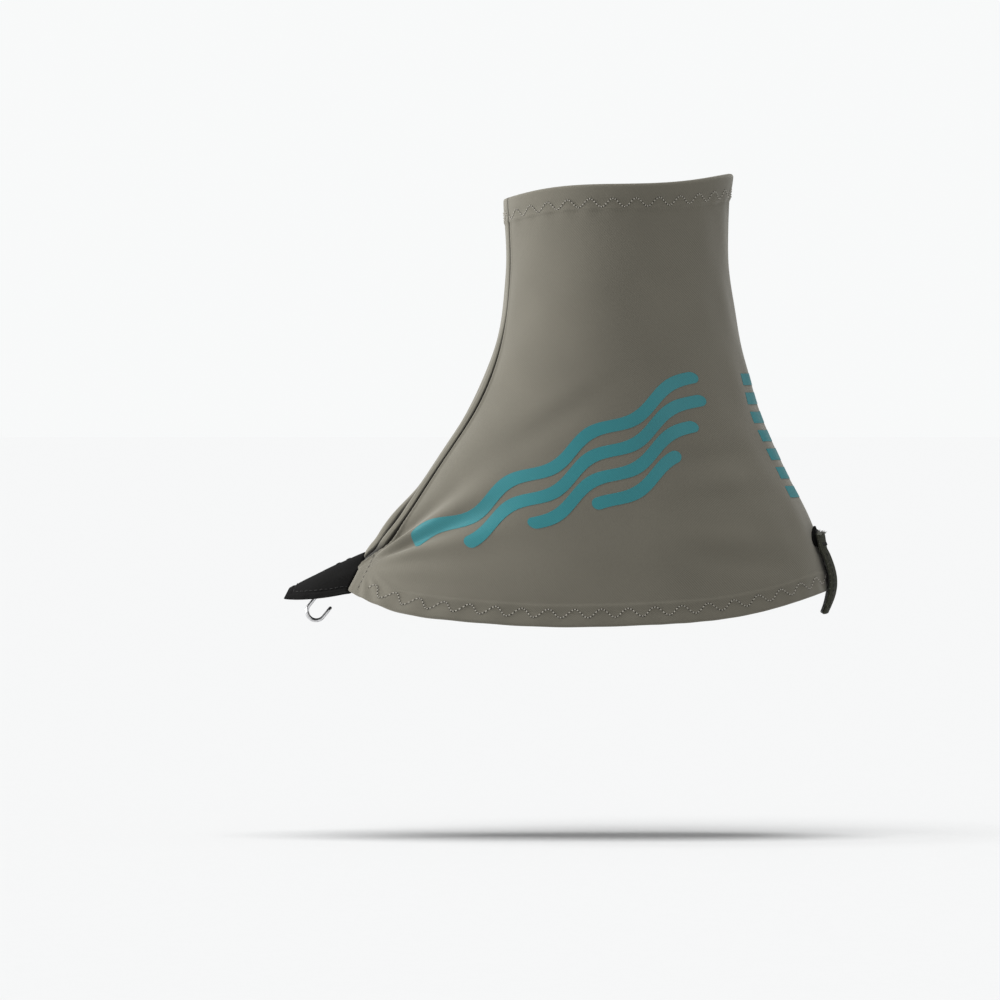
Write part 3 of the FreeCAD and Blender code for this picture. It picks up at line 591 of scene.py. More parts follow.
def webbing_material(name, colour, rib=1.0, sheen=0.25, rough=0.7, fuzz=0.0, specular=0.3):
    """Woven tape: ribs along it and short floats across it; the tone follows their height, with random grain,
    so the hollows between them get painted shade and the tops painted highlight.
    """
    n = Nodes(name, rough, sheen, 0.5, (0.85, 0.85, 0.8), specular=specular)
    mm = n.millimetres()
    ribs = n.wave(mm, BAND / rib, "X", 0.25)
    picks = n.wave(mm, BAND / (rib * 0.55), "Y", 0.35)
    grain = n.noise(mm, 2.6, 4.0, 0.7)
    height = n.weigh((ribs, 0.6), (picks, 0.4))
    mix = n.weigh((height, 0.45), (grain, 0.45 + fuzz))
    # painted shade and highlight: darker in the hollows and lighter on the tops of the ribs, mixed with
    # random grain
    tape = n.ramp(mix, ((0.2, shade(colour, 0.5)), (0.62, colour), (0.9, shade(colour, 1.9))))
    return n.finish(tape, n.weigh((grain, 0.2), plus=rough - 0.1), n.weigh((grain, 0.3 + fuzz), plus=height),
                    0.16 * MM, 0.8)


def thread_material(name, colour, sheen=0.4, rough=0.55):
    """Twisted sewing thread: fine slanting plies along it."""
    n = Nodes(name, rough, sheen, 0.4, (0.95, 0.93, 0.88), specular=0.35)
    ply = n.wave(n.millimetres(), 1.1, "DIAGONAL", 0.2)
    grain = n.noise(n.coords("Object", (1000, 1000, 1000)), 1.4)
    mix = n.weigh((ply, 0.6), (grain, 0.4))
    plies = n.ramp(mix, ((0.1, shade(colour, 0.6)), (0.75, shade(colour, 1.15))))
    return n.finish(plies, None, ply, 0.05 * MM, 0.6)


def film_material(name, colour):
    """Printed film: a little smoother than the cloth, whose twill shows through it."""
    n = Nodes(name, 0.52, 0.12, 0.5, (0.8, 1.0, 1.0), specular=0.4)
    mm = n.millimetres()
    twill = n.wave(mm, DIAGONAL / (TWILL * math.sqrt(2)), "DIAGONAL", 0.6)
    grain = n.noise(mm, 1.6, 4.0, 0.6)
    cloud = n.noise(mm, 0.05, 2.0)
    mix = n.weigh((cloud, 0.35), (grain, 0.4), (twill, 0.25))
    film = n.ramp(mix, ((0.2, shade(colour, 0.84)), (0.7, shade(colour, 1.13))))
    rough = n.weigh((grain, 0.2), plus=0.42)
    return n.finish(film, rough, n.weigh((twill, 0.7), plus=grain), 0.035 * MM, 0.6)


def wire_material(name):
    """Drawn steel wire, brushed along its length, with a few darker marks from use."""
    n = Nodes(name, 0.24, metal=1.0)
    streak = n.noise(n.coords("Object", (300, 4000, 300)), 1.0, 4.0)
    wear = n.noise(n.coords("Object", (1000, 1000, 1000)), 0.6, 4.0, 0.7)
    steel = n.ramp(wear, ((0.25, (0.42, 0.42, 0.43)), (0.6, (0.72, 0.72, 0.73))))
    return n.finish(steel, n.weigh((streak, 0.22), plus=0.14), streak, 0.01 * MM, 0.5)


def hook_tape_material(name, colour):
    """Hook tape: a dense field of tiny stiff hooks on a woven ground."""
    n = Nodes(name, 0.5, 0.1)
    mm = n.millimetres()
    cells = n.add("TexVoronoi", {"Vector": mm, "Scale": 1.25, "Randomness": 0.45}, "Distance", feature="F1")
    height = n.maths("SUBTRACT", 1.0, cells)
    mix = n.weigh((height, 0.7), (n.noise(mm, 4.0), 0.3))
    tape = n.ramp(mix, ((0.35, shade(colour, 0.4)), (0.8, shade(colour, 2.2))))
    return n.finish(tape, None, height, 0.4 * MM, 0.9)


def paper_material(name):
    """Pale studio paper with a faint grain."""
    n = Nodes(name, 0.9, specular=0.0)
    grain = n.noise(n.coords("Object", (40, 40, 40)), 6.0, 4.0)
    return n.finish(n.ramp(grain, ((0.0, (0.868, 0.872, 0.872)), (1.0, (0.892, 0.895, 0.896)))))


TAUPE = (0.127, 0.118, 0.093)
# the sleeve gets painted shade in the seam and the second fold
sleeve_cloth = cloth_material("sleeve_cloth", TAUPE, folds=True)
tab_cloth = cloth_material("tab_cloth", (0.0044, 0.0042, 0.0040), 0.6, 0.01, 0.05, (0.6, 0.6, 0.6), 0.12)
seam_thread = thread_material("seam_thread", (0.13, 0.122, 0.103))
hem_thread = thread_material("hem_thread", (0.33, 0.31, 0.27), sheen=0.2)
# painted shade: near-black discs that stand in for the shadow inside the needle holes
needle_hole_shade = thread_material("needle_hole_shade", (0.006, 0.0055, 0.005), sheen=0.0, rough=0.95)
black_thread = thread_material("black_thread", (0.010, 0.010, 0.0095), sheen=0.1)
# painted highlight: the frayed yarns are light grey, far lighter than the strap, for the grey highlight along
# its cut top end
highlit_strap_fibre = thread_material("highlit_strap_fibre", (0.12, 0.12, 0.10), sheen=0.6)
elastic_band = webbing_material("elastic", (0.42, 0.41, 0.38), rib=1.6)
webbing = webbing_material("webbing", (0.020, 0.020, 0.020), rib=0.9)
strap_webbing = webbing_material("strap_webbing", (0.020, 0.0205, 0.0135), sheen=0.02, rough=0.85, fuzz=0.5,
                                 specular=0.15)
anchor_webbing = webbing_material("anchor_webbing", (0.003, 0.003, 0.0027), sheen=0.0, rough=0.9,
                                  specular=0.08)
print_film = film_material("print_film", (0.014, 0.150, 0.168))
hook_tape = hook_tape_material("hook_tape", (0.016, 0.016, 0.014))
hook_wire = wire_material("hook_wire")

# ---- Sleeve ----

COLUMNS = 760
MIDDLE_ROWS = 170
COLUMN_LENGTH = 168.0  # of an ordinary column, from edge to edge


def run(start, stop, count, inset, last=True):
    return [(v, inset) for v in np.linspace(start, stop, count, endpoint=last)]


def sleeve_profile():
    """The cloth's outline on one column, as shares of its height and insets."""
    over_top = TOP_HEM / COLUMN_LENGTH * 1.2
    over_low = 1 - BOTTOM_HEM / COLUMN_LENGTH * 1.3
    # the turned-in edges end just short of the step that the hems make outside
    turned_low = 1 - (BOTTOM_HEM - 0.8) / COLUMN_LENGTH
    turned_top = (TOP_HEM - 0.9) / COLUMN_LENGTH
    return np.array(
        run(0.0045, over_top, 26, 0.0, False) + run(over_top, over_low, MIDDLE_ROWS, 0.0, False)
        + run(over_low, 0.9955, 26, 0.0)
        + [(0.9985, 0.25), (1.0, 0.8), (1.0, HEM_INNER - 0.8), (0.9985, HEM_INNER - 0.25)]
        + run(0.9955, turned_low, 9, HEM_INNER)
        + [(turned_low - 0.0012, HEM_INNER - 0.3), (turned_low - 0.0012, CLOTH + 0.3)]
        + run(turned_low - 0.004, turned_top + 0.004, 80, CLOTH)
        + [(turned_top + 0.0012, CLOTH + 0.3), (turned_top + 0.0012, HEM_INNER - 0.3)]
        + run(turned_top, 0.0045, 9, HEM_INNER)
        + [(0.0015, HEM_INNER - 0.25), (0.0, HEM_INNER - 0.8), (0.0, 0.8), (0.0015, 0.25)])


def build_sleeve():
    v, inset = sleeve_profile().T[:, :, None]
    q = np.linspace(0, 1, COLUMNS, endpoint=False)[None]
    z = column_z(q, v)
    angle = column_angle(q, z)
    # in front of the fold the bottom edge is one layer, over the tab's sewn end
    single = step(-94.0, -99.0, base(angle, z)[..., 0]) * step(0.80, 0.86, v)
    points = on_sleeve(angle, z, inset - single * np.clip(inset - CLOTH, 0, None))
    face, ri, rj = grid_faces(len(v), COLUMNS, close_rows=True, close_columns=True)
    # UV: millimetres round the sleeve from the back, and down the profile
    closed = np.concatenate([points, points[:, :1]], 1)
    closed = np.concatenate([closed, closed[:1]])
    around = travelled(closed, 1)
    around -= around[:, COLUMNS // 2, None]
    uv = pair_up(around[ri, rj], travelled(closed).mean(1)[ri])
    obj = make_mesh("sleeve", points, face[:, ::-1], uv[:, ::-1], [sleeve_cloth])
    # painted shade: each point's depth in the seam or the second fold, which darkens the cloth's colour there
    shade_in_folds = obj.data.attributes.new("fold", "FLOAT", "POINT")
    shade_in_folds.data.foreach_set("value", fold_shade_depth(angle, z).astype(np.float32).ravel())
    return obj


sleeve = build_sleeve()


def hem_band(name, depths, at_top, q):
    """Elastic that lies in a hem's channel, at depths from the hem's edge."""
    share = depths[:, None] / COLUMN_LENGTH
    z = column_z(q[None], share if at_top else 1 - share)
    angle = column_angle(q[None], z)
    top = on_sleeve(angle, z, CLOTH + GAP)
    low = on_sleeve(angle, z, CLOTH + GAP + ELASTIC)
    parts = Parts()
    slab(parts, top, low, pair_up(depths[:, None], travelled(top[3])))
    return parts.make(name, elastic_band)


def behind_tab(q):
    """The part of the way round where the bottom edge is a hem."""
    z = column_z(q, 1.0)
    q = q[base(column_angle(q, z), z)[..., 0] > -96.0]
    return np.linspace(q.min(), q.max(), 240)


ROUND = np.linspace(0, 1, 260)
top_elastic = hem_band("top_elastic", np.linspace(0.1, 0.86, 7) * TOP_HEM, True, ROUND)
bottom_elastic = hem_band("bottom_elastic", np.linspace(0.14, 0.84, 7) * BOTTOM_HEM, False, behind_tab(ROUND))

# ---- Stitches ----

PER_WAVE = 10  # stitches


def serpentine(name, first, last, line, offset, pitch):
    """A wavy hem row: short stitches from hole to hole, with a near-black mark at each end, painted shade for
    the needle hole.
    """
    dense = np.linspace(first, last, 6000)
    z = np.full_like(dense, -60.0)
    for _ in range(40):
        z = 0.5 * z + 0.5 * (line(base(dense, z)[..., 0]) + offset)
    along = travelled(outer(dense, z))
    count = round(along[-1] / pitch) * PER_WAVE
    places = np.linspace(0, along[-1], count + 1)
    turn = np.interp(places, along, dense)
    height = np.interp(places, along, z) + SWING * np.sin(2 * np.pi * np.arange(count + 1) / PER_WAVE)
    holes, ups = outer(turn, height), normal(turn, height)
    parts = Parts()
    stitches(parts, holes, ups, 0.27, 0.25)
    dots(parts, holes, ups, 0.48)
    return parts.make(name, hem_thread, needle_hole_shade)


SEAM_TOP = float(seam_angle(-6.0))
top_stitches = serpentine("top_stitches", SEAM_TOP + 0.03, SEAM_TOP + 2 * np.pi - 0.03, TOP, -TOP_STITCH,
                          TOP_PITCH)
NEAR_FRONT = np.linspace(-0.05, -1.2, 400)
START_ANGLE = float(np.interp(-101.7, base(NEAR_FRONT, -163.0)[:, 0], NEAR_FRONT))
bottom_stitches = serpentine("bottom_stitches", START_ANGLE, -2 * np.pi - START_ANGLE, BOTTOM, BOTTOM_STITCH,
                             BOTTOM_PITCH)


def edge_row():
    """The straight row through the slanting front edge and the tab's sewn end."""
    parts = Parts()
    x, z = (CORNER + 3.4 * PLANE_BACK + np.linspace(0.1, 1.0, 400)[:, None] * (RIDGE - CORNER)).T
    cosine = np.clip((WIDEST(z) - x) / (WIDEST(z) - FRONT(z)), -1, 1)
    beside_ridge = cosine < 0.9995
    for side in (-1.0, 1.0):
        angle = side * np.arccos(cosine[beside_ridge])
        along = travelled(outer(angle, z[beside_ridge]))
        places = np.linspace(0.3, along[-1] - 0.3, int(along[-1] / 2.4) + 1)
        turn = np.interp(places, along, angle)
        height = np.interp(places, along, z[beside_ridge])
        holes, ups = outer(turn, height), normal(turn, height)
        stitches(parts, holes, ups, 0.15, 0.17, 0.14)
        dots(parts, holes, ups, 0.24)
    return parts.make("tab_stitches", seam_thread, needle_hole_shade)


tab_stitches = edge_row()
SEAM_RADIUS = 44.0  # turns a distance from the seam into an angle


def beside_seam(across, z, inset):
    return on_sleeve(seam_angle(z) + across / SEAM_RADIUS, z, inset)


def build_overlock():
    """The joined edges of the cloth inside the seam, with the overlock's loops round them."""
    parts = Parts()
    z = np.linspace(-15.5, -134.0, 240)[:, None]
    across = np.linspace(0.4, 5.0, 7)
    top = beside_seam(across, z, CLOTH + GAP)
    low = beside_seam(across, z, 2 * CLOTH + GAP + 0.12 * np.sin(z * 1.7))
    slab(parts, top, low, pair_up(across, travelled(top[:, 3])[:, None]), 0.35)
    z = np.linspace(-16.0, -133.5, 88)[:, None]
    across, inset = np.array(((0.5, 1.95), (1.7, 2.05), (3.2, 2.1), (4.6, 2.05), (5.35, 1.5))).T
    for lean in (0.65, -0.65):
        tubes(parts, beside_seam(across, z + np.linspace(0, lean, 5), inset), 0.17, 1)
    for place in (1.0, 3.4):
        zigzag(parts, beside_seam(place, np.linspace(-16.0, -133.5, 150), 2.15), 0.18, 1)
    return parts.make("seam_overlock", sleeve_cloth, seam_thread)


overlock = build_overlock()

# ---- Prints ----

PRINT_START = np.array((-84.0, -146.0))
PRINT_SLOPE = math.radians(31.0)
BAND_PITCH = 8.6
BAND_HEIGHT = 5.2
WAVE_LENGTH = 38.0
WAVE_SWING = 2.2
WAVE_SHIFT = 0.8  # radians from one band to the next
BAND_SPANS = ((4.0, 132.0), (22.0, 130.0), (48.0, 122.0), (74.0, 110.0))
FILM = 0.14


def film_patch(parts, angle, z, uv):
    """One patch of film on the cloth."""
    slab(parts, on_sleeve(angle, z, -FILM), on_sleeve(angle, z, 0.06), uv, 0.2)


def build_side_bands():
    """Four wavy bands with round ends, laid out flat as seen from the side."""
    parts = Parts()
    along = np.array((math.cos(PRINT_SLOPE), math.sin(PRINT_SLOPE)))
    over = np.array((-along[1], along[0]))
    tip = BAND_HEIGHT / 2
    nose = tip * (1 - np.cos(np.linspace(0, np.pi / 2, 14)))
    for row, (start, stop) in enumerate(BAND_SPANS):
        middle = np.linspace(start, stop, int((stop - start) / 0.6))[1:-1]
        places = np.concatenate([start - tip + nose, middle, stop + tip - nose[::-1]])
        inside = np.minimum(places - (start - tip), (stop + tip) - places)
        half = np.sqrt(np.clip(tip ** 2 - np.clip(tip - inside, 0, None) ** 2, 0.01, None))
        centre = WAVE_SWING * np.sin(2 * np.pi * places / WAVE_LENGTH + row * WAVE_SHIFT) - row * BAND_PITCH
        offset = centre[:, None] + half[:, None] * np.linspace(-1, 1, 11)
        flat = PRINT_START + places[:, None, None] * along + offset[..., None] * over
        x, z = flat[..., 0], flat[..., 1]
        reach = np.where(x < WIDEST(z), WIDEST(z) - FRONT(z), REAR(z) - WIDEST(z))
        film_patch(parts, -np.arccos(np.clip((WIDEST(z) - x) / reach, -1, 1)), z, flat)
    return parts.make("side_bands", print_film)


def build_rear_blocks():
    parts = Parts()
    for top in -76.0 - 7.6 * np.arange(7):
        z, y = np.meshgrid(np.linspace(top, top - 4.6, 10), np.linspace(-15.0, 15.0, 60), indexing="ij")
        film_patch(parts, np.pi - np.arcsin(y / HALF(z)), z, pair_up(y, z))
    return parts.make("rear_blocks", print_film)


side_bands = build_side_bands()
rear_blocks = build_rear_blocks()

# ---- Front tab ----

TAB_SLOPE = math.radians(26.8)
ACROSS = np.array((0.0, 1.0, 0.0))
UP3 = np.array((PLANE_UP[0], 0.0, PLANE_UP[1]))
AHEAD3 = np.array((-PLANE_UP[1], 0.0, PLANE_UP[0]))
TAB_ROOT = np.array((RIDGE[0], 0.0, RIDGE[1])) - UP3 * 1.3 + AHEAD3 * 0.35
FORWARD = np.array((-math.cos(TAB_SLOPE), 0.0, -math.sin(TAB_SLOPE)))
TAB_UP = np.array((-math.sin(TAB_SLOPE), 0.0, math.cos(TAB_SLOPE)))
TAB_LENGTH = 35.5
CORNER_ANGLE = 0.335
UNDER = CLOTH + 0.15


def arch(turn):
    """Directions out of an arch, by the angle from its top."""
    return np.sin(turn)[..., None] * ACROSS + np.cos(turn)[..., None] * UP3


def tab_arc(share, radius, half_span, t):
    """An arc of the flap's outer face, t from -1 on the outer side to 1, at a share of its length."""
    top = TAB_ROOT + FORWARD * TAB_LENGTH * share
    return top - UP3 * radius + radius * arch(np.radians(half_span) * t)


def hem_edge():
    """Height of the front hem edge and the cloth's evened-out relief there, by the tab's own angle."""
    q = np.linspace(-0.5, 0.5, 1601) % 1.0
    z = column_z(q, 1.0)
    angle = wrap(column_angle(q, z))
    order = np.argsort(angle)
    near = np.linspace(-0.6, 0.6, 601)
    edge = np.interp(near, angle[order], z[order])
    kernel = hump(np.linspace(-2.5, 2.5, 81), 1.0)
    padded = np.pad(relief(near, base(near, edge)), 40, mode="edge")
    return near, edge, np.convolve(padded, kernel / kernel.sum(), "valid")


EDGE_ANGLE, EDGE_Z, EDGE_RELIEF = hem_edge()


def tab_surface(w, t):
    """The flap's outer face: w is 0 at the hem and 1 at its front end, negative under the hem."""
    w, t = np.broadcast_arrays(w, t)
    # the arch of the hem's front edge, just inside the cloth
    angle = t * CORNER_ANGLE * (1 + 0.03 * np.abs(t))
    z = np.interp(angle, EDGE_ANGLE, EDGE_Z) + np.clip(-w, 0, None) * TAB_LENGTH * 0.72
    even = np.interp(angle, EDGE_ANGLE, EDGE_RELIEF) - UNDER
    shown = base(angle, z) + plain_normal(angle, z) * even[..., None]
    share = step(0.0, 0.03, w)[..., None]
    root = on_sleeve(angle, z, UNDER) * (1 - share) + shown * share
    wf = np.clip(w, 0, 1)
    ahead = wf[..., None]
    flap = (root * (2 * (ahead - 0.5) * (ahead - 1)) + tab_arc(0.5, 13.8, 88.0, t) * (4 * ahead * (1 - ahead))
            + tab_arc(1.0, 12.8, 49.0, t) * (2 * ahead * (ahead - 0.5)))
    # just in front of the cloth's edge the flap rises to the level of the cloth
    shoulder = 0.75 * step(0.01, 0.06, wf) * (1 - wf) ** 2
    # slight unevenness of a stiff coated cloth
    ripple = 0.07 * np.sin(w * 17.0 + 2.0 * t) * (1 - t * t)
    ripple = ripple + 0.06 * np.sin(w * 29.0) * step(0.8, 1.0, np.abs(t))
    rise = shoulder + ripple * step(0.05, 0.3, w)
    return np.where((w < 0)[..., None], root, flap + arch(t * np.pi / 2) * rise[..., None])


def on_tab(reach, y, lift):
    """Points above the flap's outer face, at a reach along its ridge and a distance y across it."""
    w, y = np.broadcast_arrays(reach / TAB_LENGTH, y)
    t = np.zeros_like(y)
    for _ in range(12):
        t = t + (y - tab_surface(w, t)[..., 1]) / 22.0
    along = tab_surface(w + 0.01, t) - tab_surface(w - 0.01, t)
    over = tab_surface(w, t + 0.01) - tab_surface(w, t - 0.01)
    up = unit(np.cross(over, along))
    return tab_surface(w, t) + up * np.sign((up * UP3).sum(-1, keepdims=True)) * lift


def crowded(count, ends):
    """Shares from -1 to 1, closer together at both ends."""
    return np.sin(np.linspace(-1, 1, count) * np.pi / 2 * ends) / math.sin(np.pi / 2 * ends)


def build_tab():
    w = np.concatenate([np.linspace(-0.24, -0.02, 10), np.linspace(0.0, 1.0, 70)])[:, None]
    t = crowded(101, 0.985)
    top = tab_surface(w, t)
    out = unit(np.cross(np.gradient(top, axis=1), np.gradient(top, axis=0)))
    out *= np.sign((out * (top - np.array((-112.0, 0.0, -176.0)))).sum(-1, keepdims=True))
    along, over = travelled(top), travelled(top, 1)
    side = np.minimum(over, over[:, -1:] - over)
    ahead = along[-1:] - along
    # the edge is rolled on the three free sides
    margin = np.minimum(side + np.where(w < 0.02, 9.0, 0.0), ahead)
    rolled = (0.22 * step(2.5, 1.9, margin) - 0.14 * hump(margin - 2.9, 0.35)) * step(-0.01, 0.05, w)
    top = top + out * rolled[..., None]
    low = top - out * (0.75 + 0.35 * rolled)[..., None]
    parts = Parts()
    slab(parts, top, low, pair_up(over, along), 0.45)
    # a row of stitches inside the rolled edge
    depth = 3.6
    rows = []
    for reach in (over, over[:, -1:] - over):
        picks = [(i, int(np.argmin(np.abs(reach[i] - depth)))) for i in range(12, len(w))]
        rows.append([pick for pick in picks if ahead[pick] > depth])
    i = int(np.argmin(np.abs(ahead[:, 50] - depth)))
    rows.append([(i, k) for k in range(len(t)) if side[i, k] > depth])
    for row in rows:
        i, k = np.array(row).T
        travel = travelled(top[i, k])
        places = np.linspace(0, travel[-1], int(travel[-1] / 2.1) + 1)
        holes, ups = (np.stack([np.interp(places, travel, line) for line in grid[i, k].T], -1)
                      for grid in (top, out))
        stitches(parts, holes, unit(ups), 0.14, 0.16, 0.16, 1)
    return parts.make("tab", tab_cloth, black_thread)


tab = build_tab()

# ---- Webbing loop and its bartacks ----

WEBBING = 0.9
BORE = 0.75
LEAF = 11.0
WEBBING_HALF = 3.0
BAR = TAB_ROOT + FORWARD * 18.0 - TAB_UP * (2.1 + BORE + WEBBING)


def build_webbing_loop():
    """One strip of webbing folded round the hook's bar, with both leaves sewn flat under the tab."""
    radius = BORE + WEBBING
    path = [(s, radius, 0.0, 1.0) for s in np.linspace(LEAF, 0.0, 16)]
    for turn in np.radians(np.linspace(90.0, 340.0, 34)[1:]):
        path.append((radius * math.cos(turn), radius * math.sin(turn), math.cos(turn), math.sin(turn)))
    x_end, y_end = path[-1][:2]
    for s in np.linspace(0.0, 1.0, 14)[1:]:
        y = y_end + (-0.14 - y_end) * float(step(0.0, 0.3, s))
        path.append((x_end + (LEAF - x_end) * s, y, 0.0, -1.0))
    path = np.array(path)
    back_up = np.array((-FORWARD, TAB_UP))
    centre_line = path[:, :2] @ back_up + BAR
    # outward normals from the line itself, so that the strip has one thickness all along
    out = unit(np.cross(unit(np.gradient(centre_line, axis=0)), ACROSS))
    out *= np.sign((out * (path[:, 2:] @ back_up)).sum(-1, keepdims=True))
    y = np.linspace(-WEBBING_HALF, WEBBING_HALF, 13)
    edge = (1 - 0.25 * step(WEBBING_HALF - 0.7, WEBBING_HALF, np.abs(y)))[:, None]
    top = centre_line[:, None] + y[:, None] * ACROSS - out[:, None] * (1 - edge) * 0.5
    low = top - out[:, None] * 0.84 * edge
    parts = Parts()
    slab(parts, top, low, pair_up(y, travelled(centre_line)[:, None]))
    return parts.make("webbing_loop", webbing)


def build_loop_bartacks():
    """Two tight zigzags across the tab, which hold the webbing under it."""
    parts = Parts()
    for reach in (9.0, 13.5):
        swing = np.where(np.arange(22) % 2, 0.9, -0.9)
        zigzag(parts, on_tab(reach + swing, np.linspace(-2.5, 2.5, 22), 0.12), 0.2, up=TAB_UP)
        for shift in (-0.45, 0.0, 0.45):
            tubes(parts, on_tab(reach + shift, np.linspace(-2.6, 2.6, 9), 0.02)[None], 0.17, up=TAB_UP)
    return parts.make("loop_bartacks", black_thread)


webbing_loop = build_webbing_loop()
loop_bartacks = build_loop_bartacks()

# ---- Heel strap ----

STRAP_FACE = Curve(((-147.0, 83.4), (-153.0, 85.8), (-159.0, 87.2), (-166.0, 86.6), (-173.4, 83.6)))
STRAP_HALF = 13.0
STRAP_END = -173.4
PAD_SHARE = 0.885
WRAP = 30.0
FLARE = 1.3
STRAP_OUT = (1.0, 0.0, 0.3)


def strap_point(y, z, off):
    """A point of the strap, off outside the face that lies on the heel."""
    y, z, off = np.broadcast_arrays(y, z, off)
    face = STRAP_FACE(np.clip(z, STRAP_END, -147.0)) - WRAP
    free = np.stack([face + np.sqrt((WRAP + off) ** 2 - y ** 2), y, z], -1)
    angle = np.pi - np.arcsin(np.clip(y / HALF(z), -1, 1))
    share = step(-143.5, -149.5, z)[..., None]
    return on_sleeve(angle, z, -(off + 0.1)) * (1 - share) + free * share


def flared(z):
    """How far the strap's cut top end stands off."""
    return FLARE * step(-147.5, -142.6, z)


def strap_sheet(levels, half_at, inner_off, outer_off, wave=0.0, flare=0.0):
    """A layer of the strap, with a thinner edge. half_at gives half its width at a height."""
    parts = Parts()
    y, z = crowded(37, 0.97), levels[:, None]
    lift = wave * np.sin(z * 0.9) * step(0.6, 1.0, np.abs(y)) + flare * flared(z)
    edge = 0.3 * step(0.9, 1.0, np.abs(y)) * (outer_off - inner_off)
    y = y * half_at(z)
    top = strap_point(y, z, outer_off + lift - edge)
    slab(parts, top, strap_point(y, z, inner_off + lift), pair_up(y, z))
    return parts


def strap_width(z):
    return STRAP_HALF * (1 - 0.18 * step(-164.0, STRAP_END, z))


def anchor_width(z):
    """The sewn end is cut round at its top."""
    return STRAP_HALF * np.sqrt(1 - 0.88 * np.clip((z + 145.0) / 6.6, 0, 1) ** 2)


def pad_width(z):
    return strap_width(z) * PAD_SHARE


def build_strap():
    levels = np.concatenate([np.linspace(-141.8, -150.0, 24), np.linspace(-150.6, STRAP_END, 46)])
    parts = strap_sheet(levels, strap_width, 1.05, 2.0, 0.08, 1.0)
    s = np.linspace(0, 1, 5)[:, None]
    # frayed yarns along the cut top end and a few from the sides, coloured light grey as painted highlight
    rng = np.random.default_rng(7)
    paths = []
    for k in range(150):
        if k < 96:
            y = rng.uniform(-12.6, 12.6)
            z = -142.0 - rng.uniform(0.0, 0.5)
            way = np.array((0.30 + 0.5 * rng.random(), rng.normal(0, 0.25), 1.0))
            length = rng.uniform(0.5, 1.7)
        else:
            side = -1.0 if k % 2 else 1.0
            z = rng.uniform(-172.0, -143.0)
            y = side * (float(strap_width(z)) - 0.2)
            way = np.array((0.35 * rng.random(), side * 0.8, rng.normal(0, 0.4)))
            length = rng.uniform(0.3, 0.9)
        start = strap_point(y, z, rng.uniform(1.2, 1.9) + flared(z))
        curl = rng.normal(0, 0.22, 3)
        paths.append(start + unit(way) * length * s + curl * length * s * s)
    tubes(parts, paths, 0.07, 1)
    # the corner of the cut end on the outer side stands up as a spike
    spike = []
    for k in range(16):
        start = strap_point(-12.8 + 0.16 * k, -142.6, 2.6 + 0.04 * (k % 5))
        way = np.array((0.5 + 0.05 * k, -0.3, 2.6 - 0.12 * k))
        spike.append(start + way * s + np.array((0.25, 0.0, 0.0)) * np.sin(np.pi * s))
    tubes(parts, spike, 0.11, 1)
    return parts.make("strap_outer", strap_webbing, highlit_strap_fibre)


def build_hook_pad():
    """Hook tape inside the strap, with rows of stiff little hooks on the face that grips the shoe."""
    parts = strap_sheet(np.linspace(-147.6, -173.0, 34), pad_width, 0.35, 0.95)
    # each hook's points, as distances inwards and along the strap
    shape = np.array(((0.0, 0.0), (0.28, 0.0), (0.42, 0.1), (0.40, 0.26), (0.26, 0.32)))
    paths = []
    for number, z in enumerate(np.linspace(-149.0, -172.0, 24)):
        half = float(pad_width(z)) - 0.9
        for y in np.arange(-half + 0.5 * (number % 2), half, 1.0):
            inward = (-math.sqrt(1 - (y / WRAP) ** 2), -y / WRAP, 0.0)
            along = (0.0, 0.0, -1.0 if number % 2 else 1.0)
            paths.append(strap_point(y, z, 0.38) + shape @ np.array((inward, along)))
    tubes(parts, paths, 0.075, up=ACROSS, sides=4)
    return parts.make("hook_pad", hook_tape)


def build_strap_bartacks():
    """Two tight zigzags across the sewn end of the strap."""
    parts = Parts()
    for level, off, half in ((-140.6, 1.2, 8.0), (-145.4, 2.55, 10.4)):
        count = int(5 * half)
        z = level + np.where(np.arange(count) % 2, 0.75, -0.75)
        zigzag(parts, strap_point(np.linspace(-half, half, count), z, off), 0.2, up=STRAP_OUT)
        for shift in (-0.4, 0.0, 0.4):
            core = strap_point(np.linspace(-half, half, 22), level + shift, off - 0.12)
            tubes(parts, core[None], 0.16, up=STRAP_OUT)
    return parts.make("strap_bartacks", black_thread)


def build_strap_rows():
    """A stitch row down each side of the strap, on its outer face."""
    parts = Parts()
    z = np.linspace(-148.5, -171.5, 12)
    for side in (-1.0, 1.0):
        y = side * (strap_width(z) - 2.6)
        lean = y / (WRAP + 2.0)
        ups = unit(np.stack([np.sqrt(1 - lean ** 2), lean, 0 * y], -1))
        stitches(parts, strap_point(y, z, 2.03), ups, 0.14, 0.2)
    return parts.make("strap_stitches", black_thread)


strap_anchor = strap_sheet(np.linspace(-138.4, -146.0, 14), anchor_width, 0.0, 0.95)
strap_anchor = strap_anchor.make("strap_anchor", anchor_webbing)
heel_strap = build_strap()
hook_pad = build_hook_pad()
strap_bartacks = build_strap_bartacks()
strap_stitches = build_strap_rows()

# ---- Riding and replacing ----

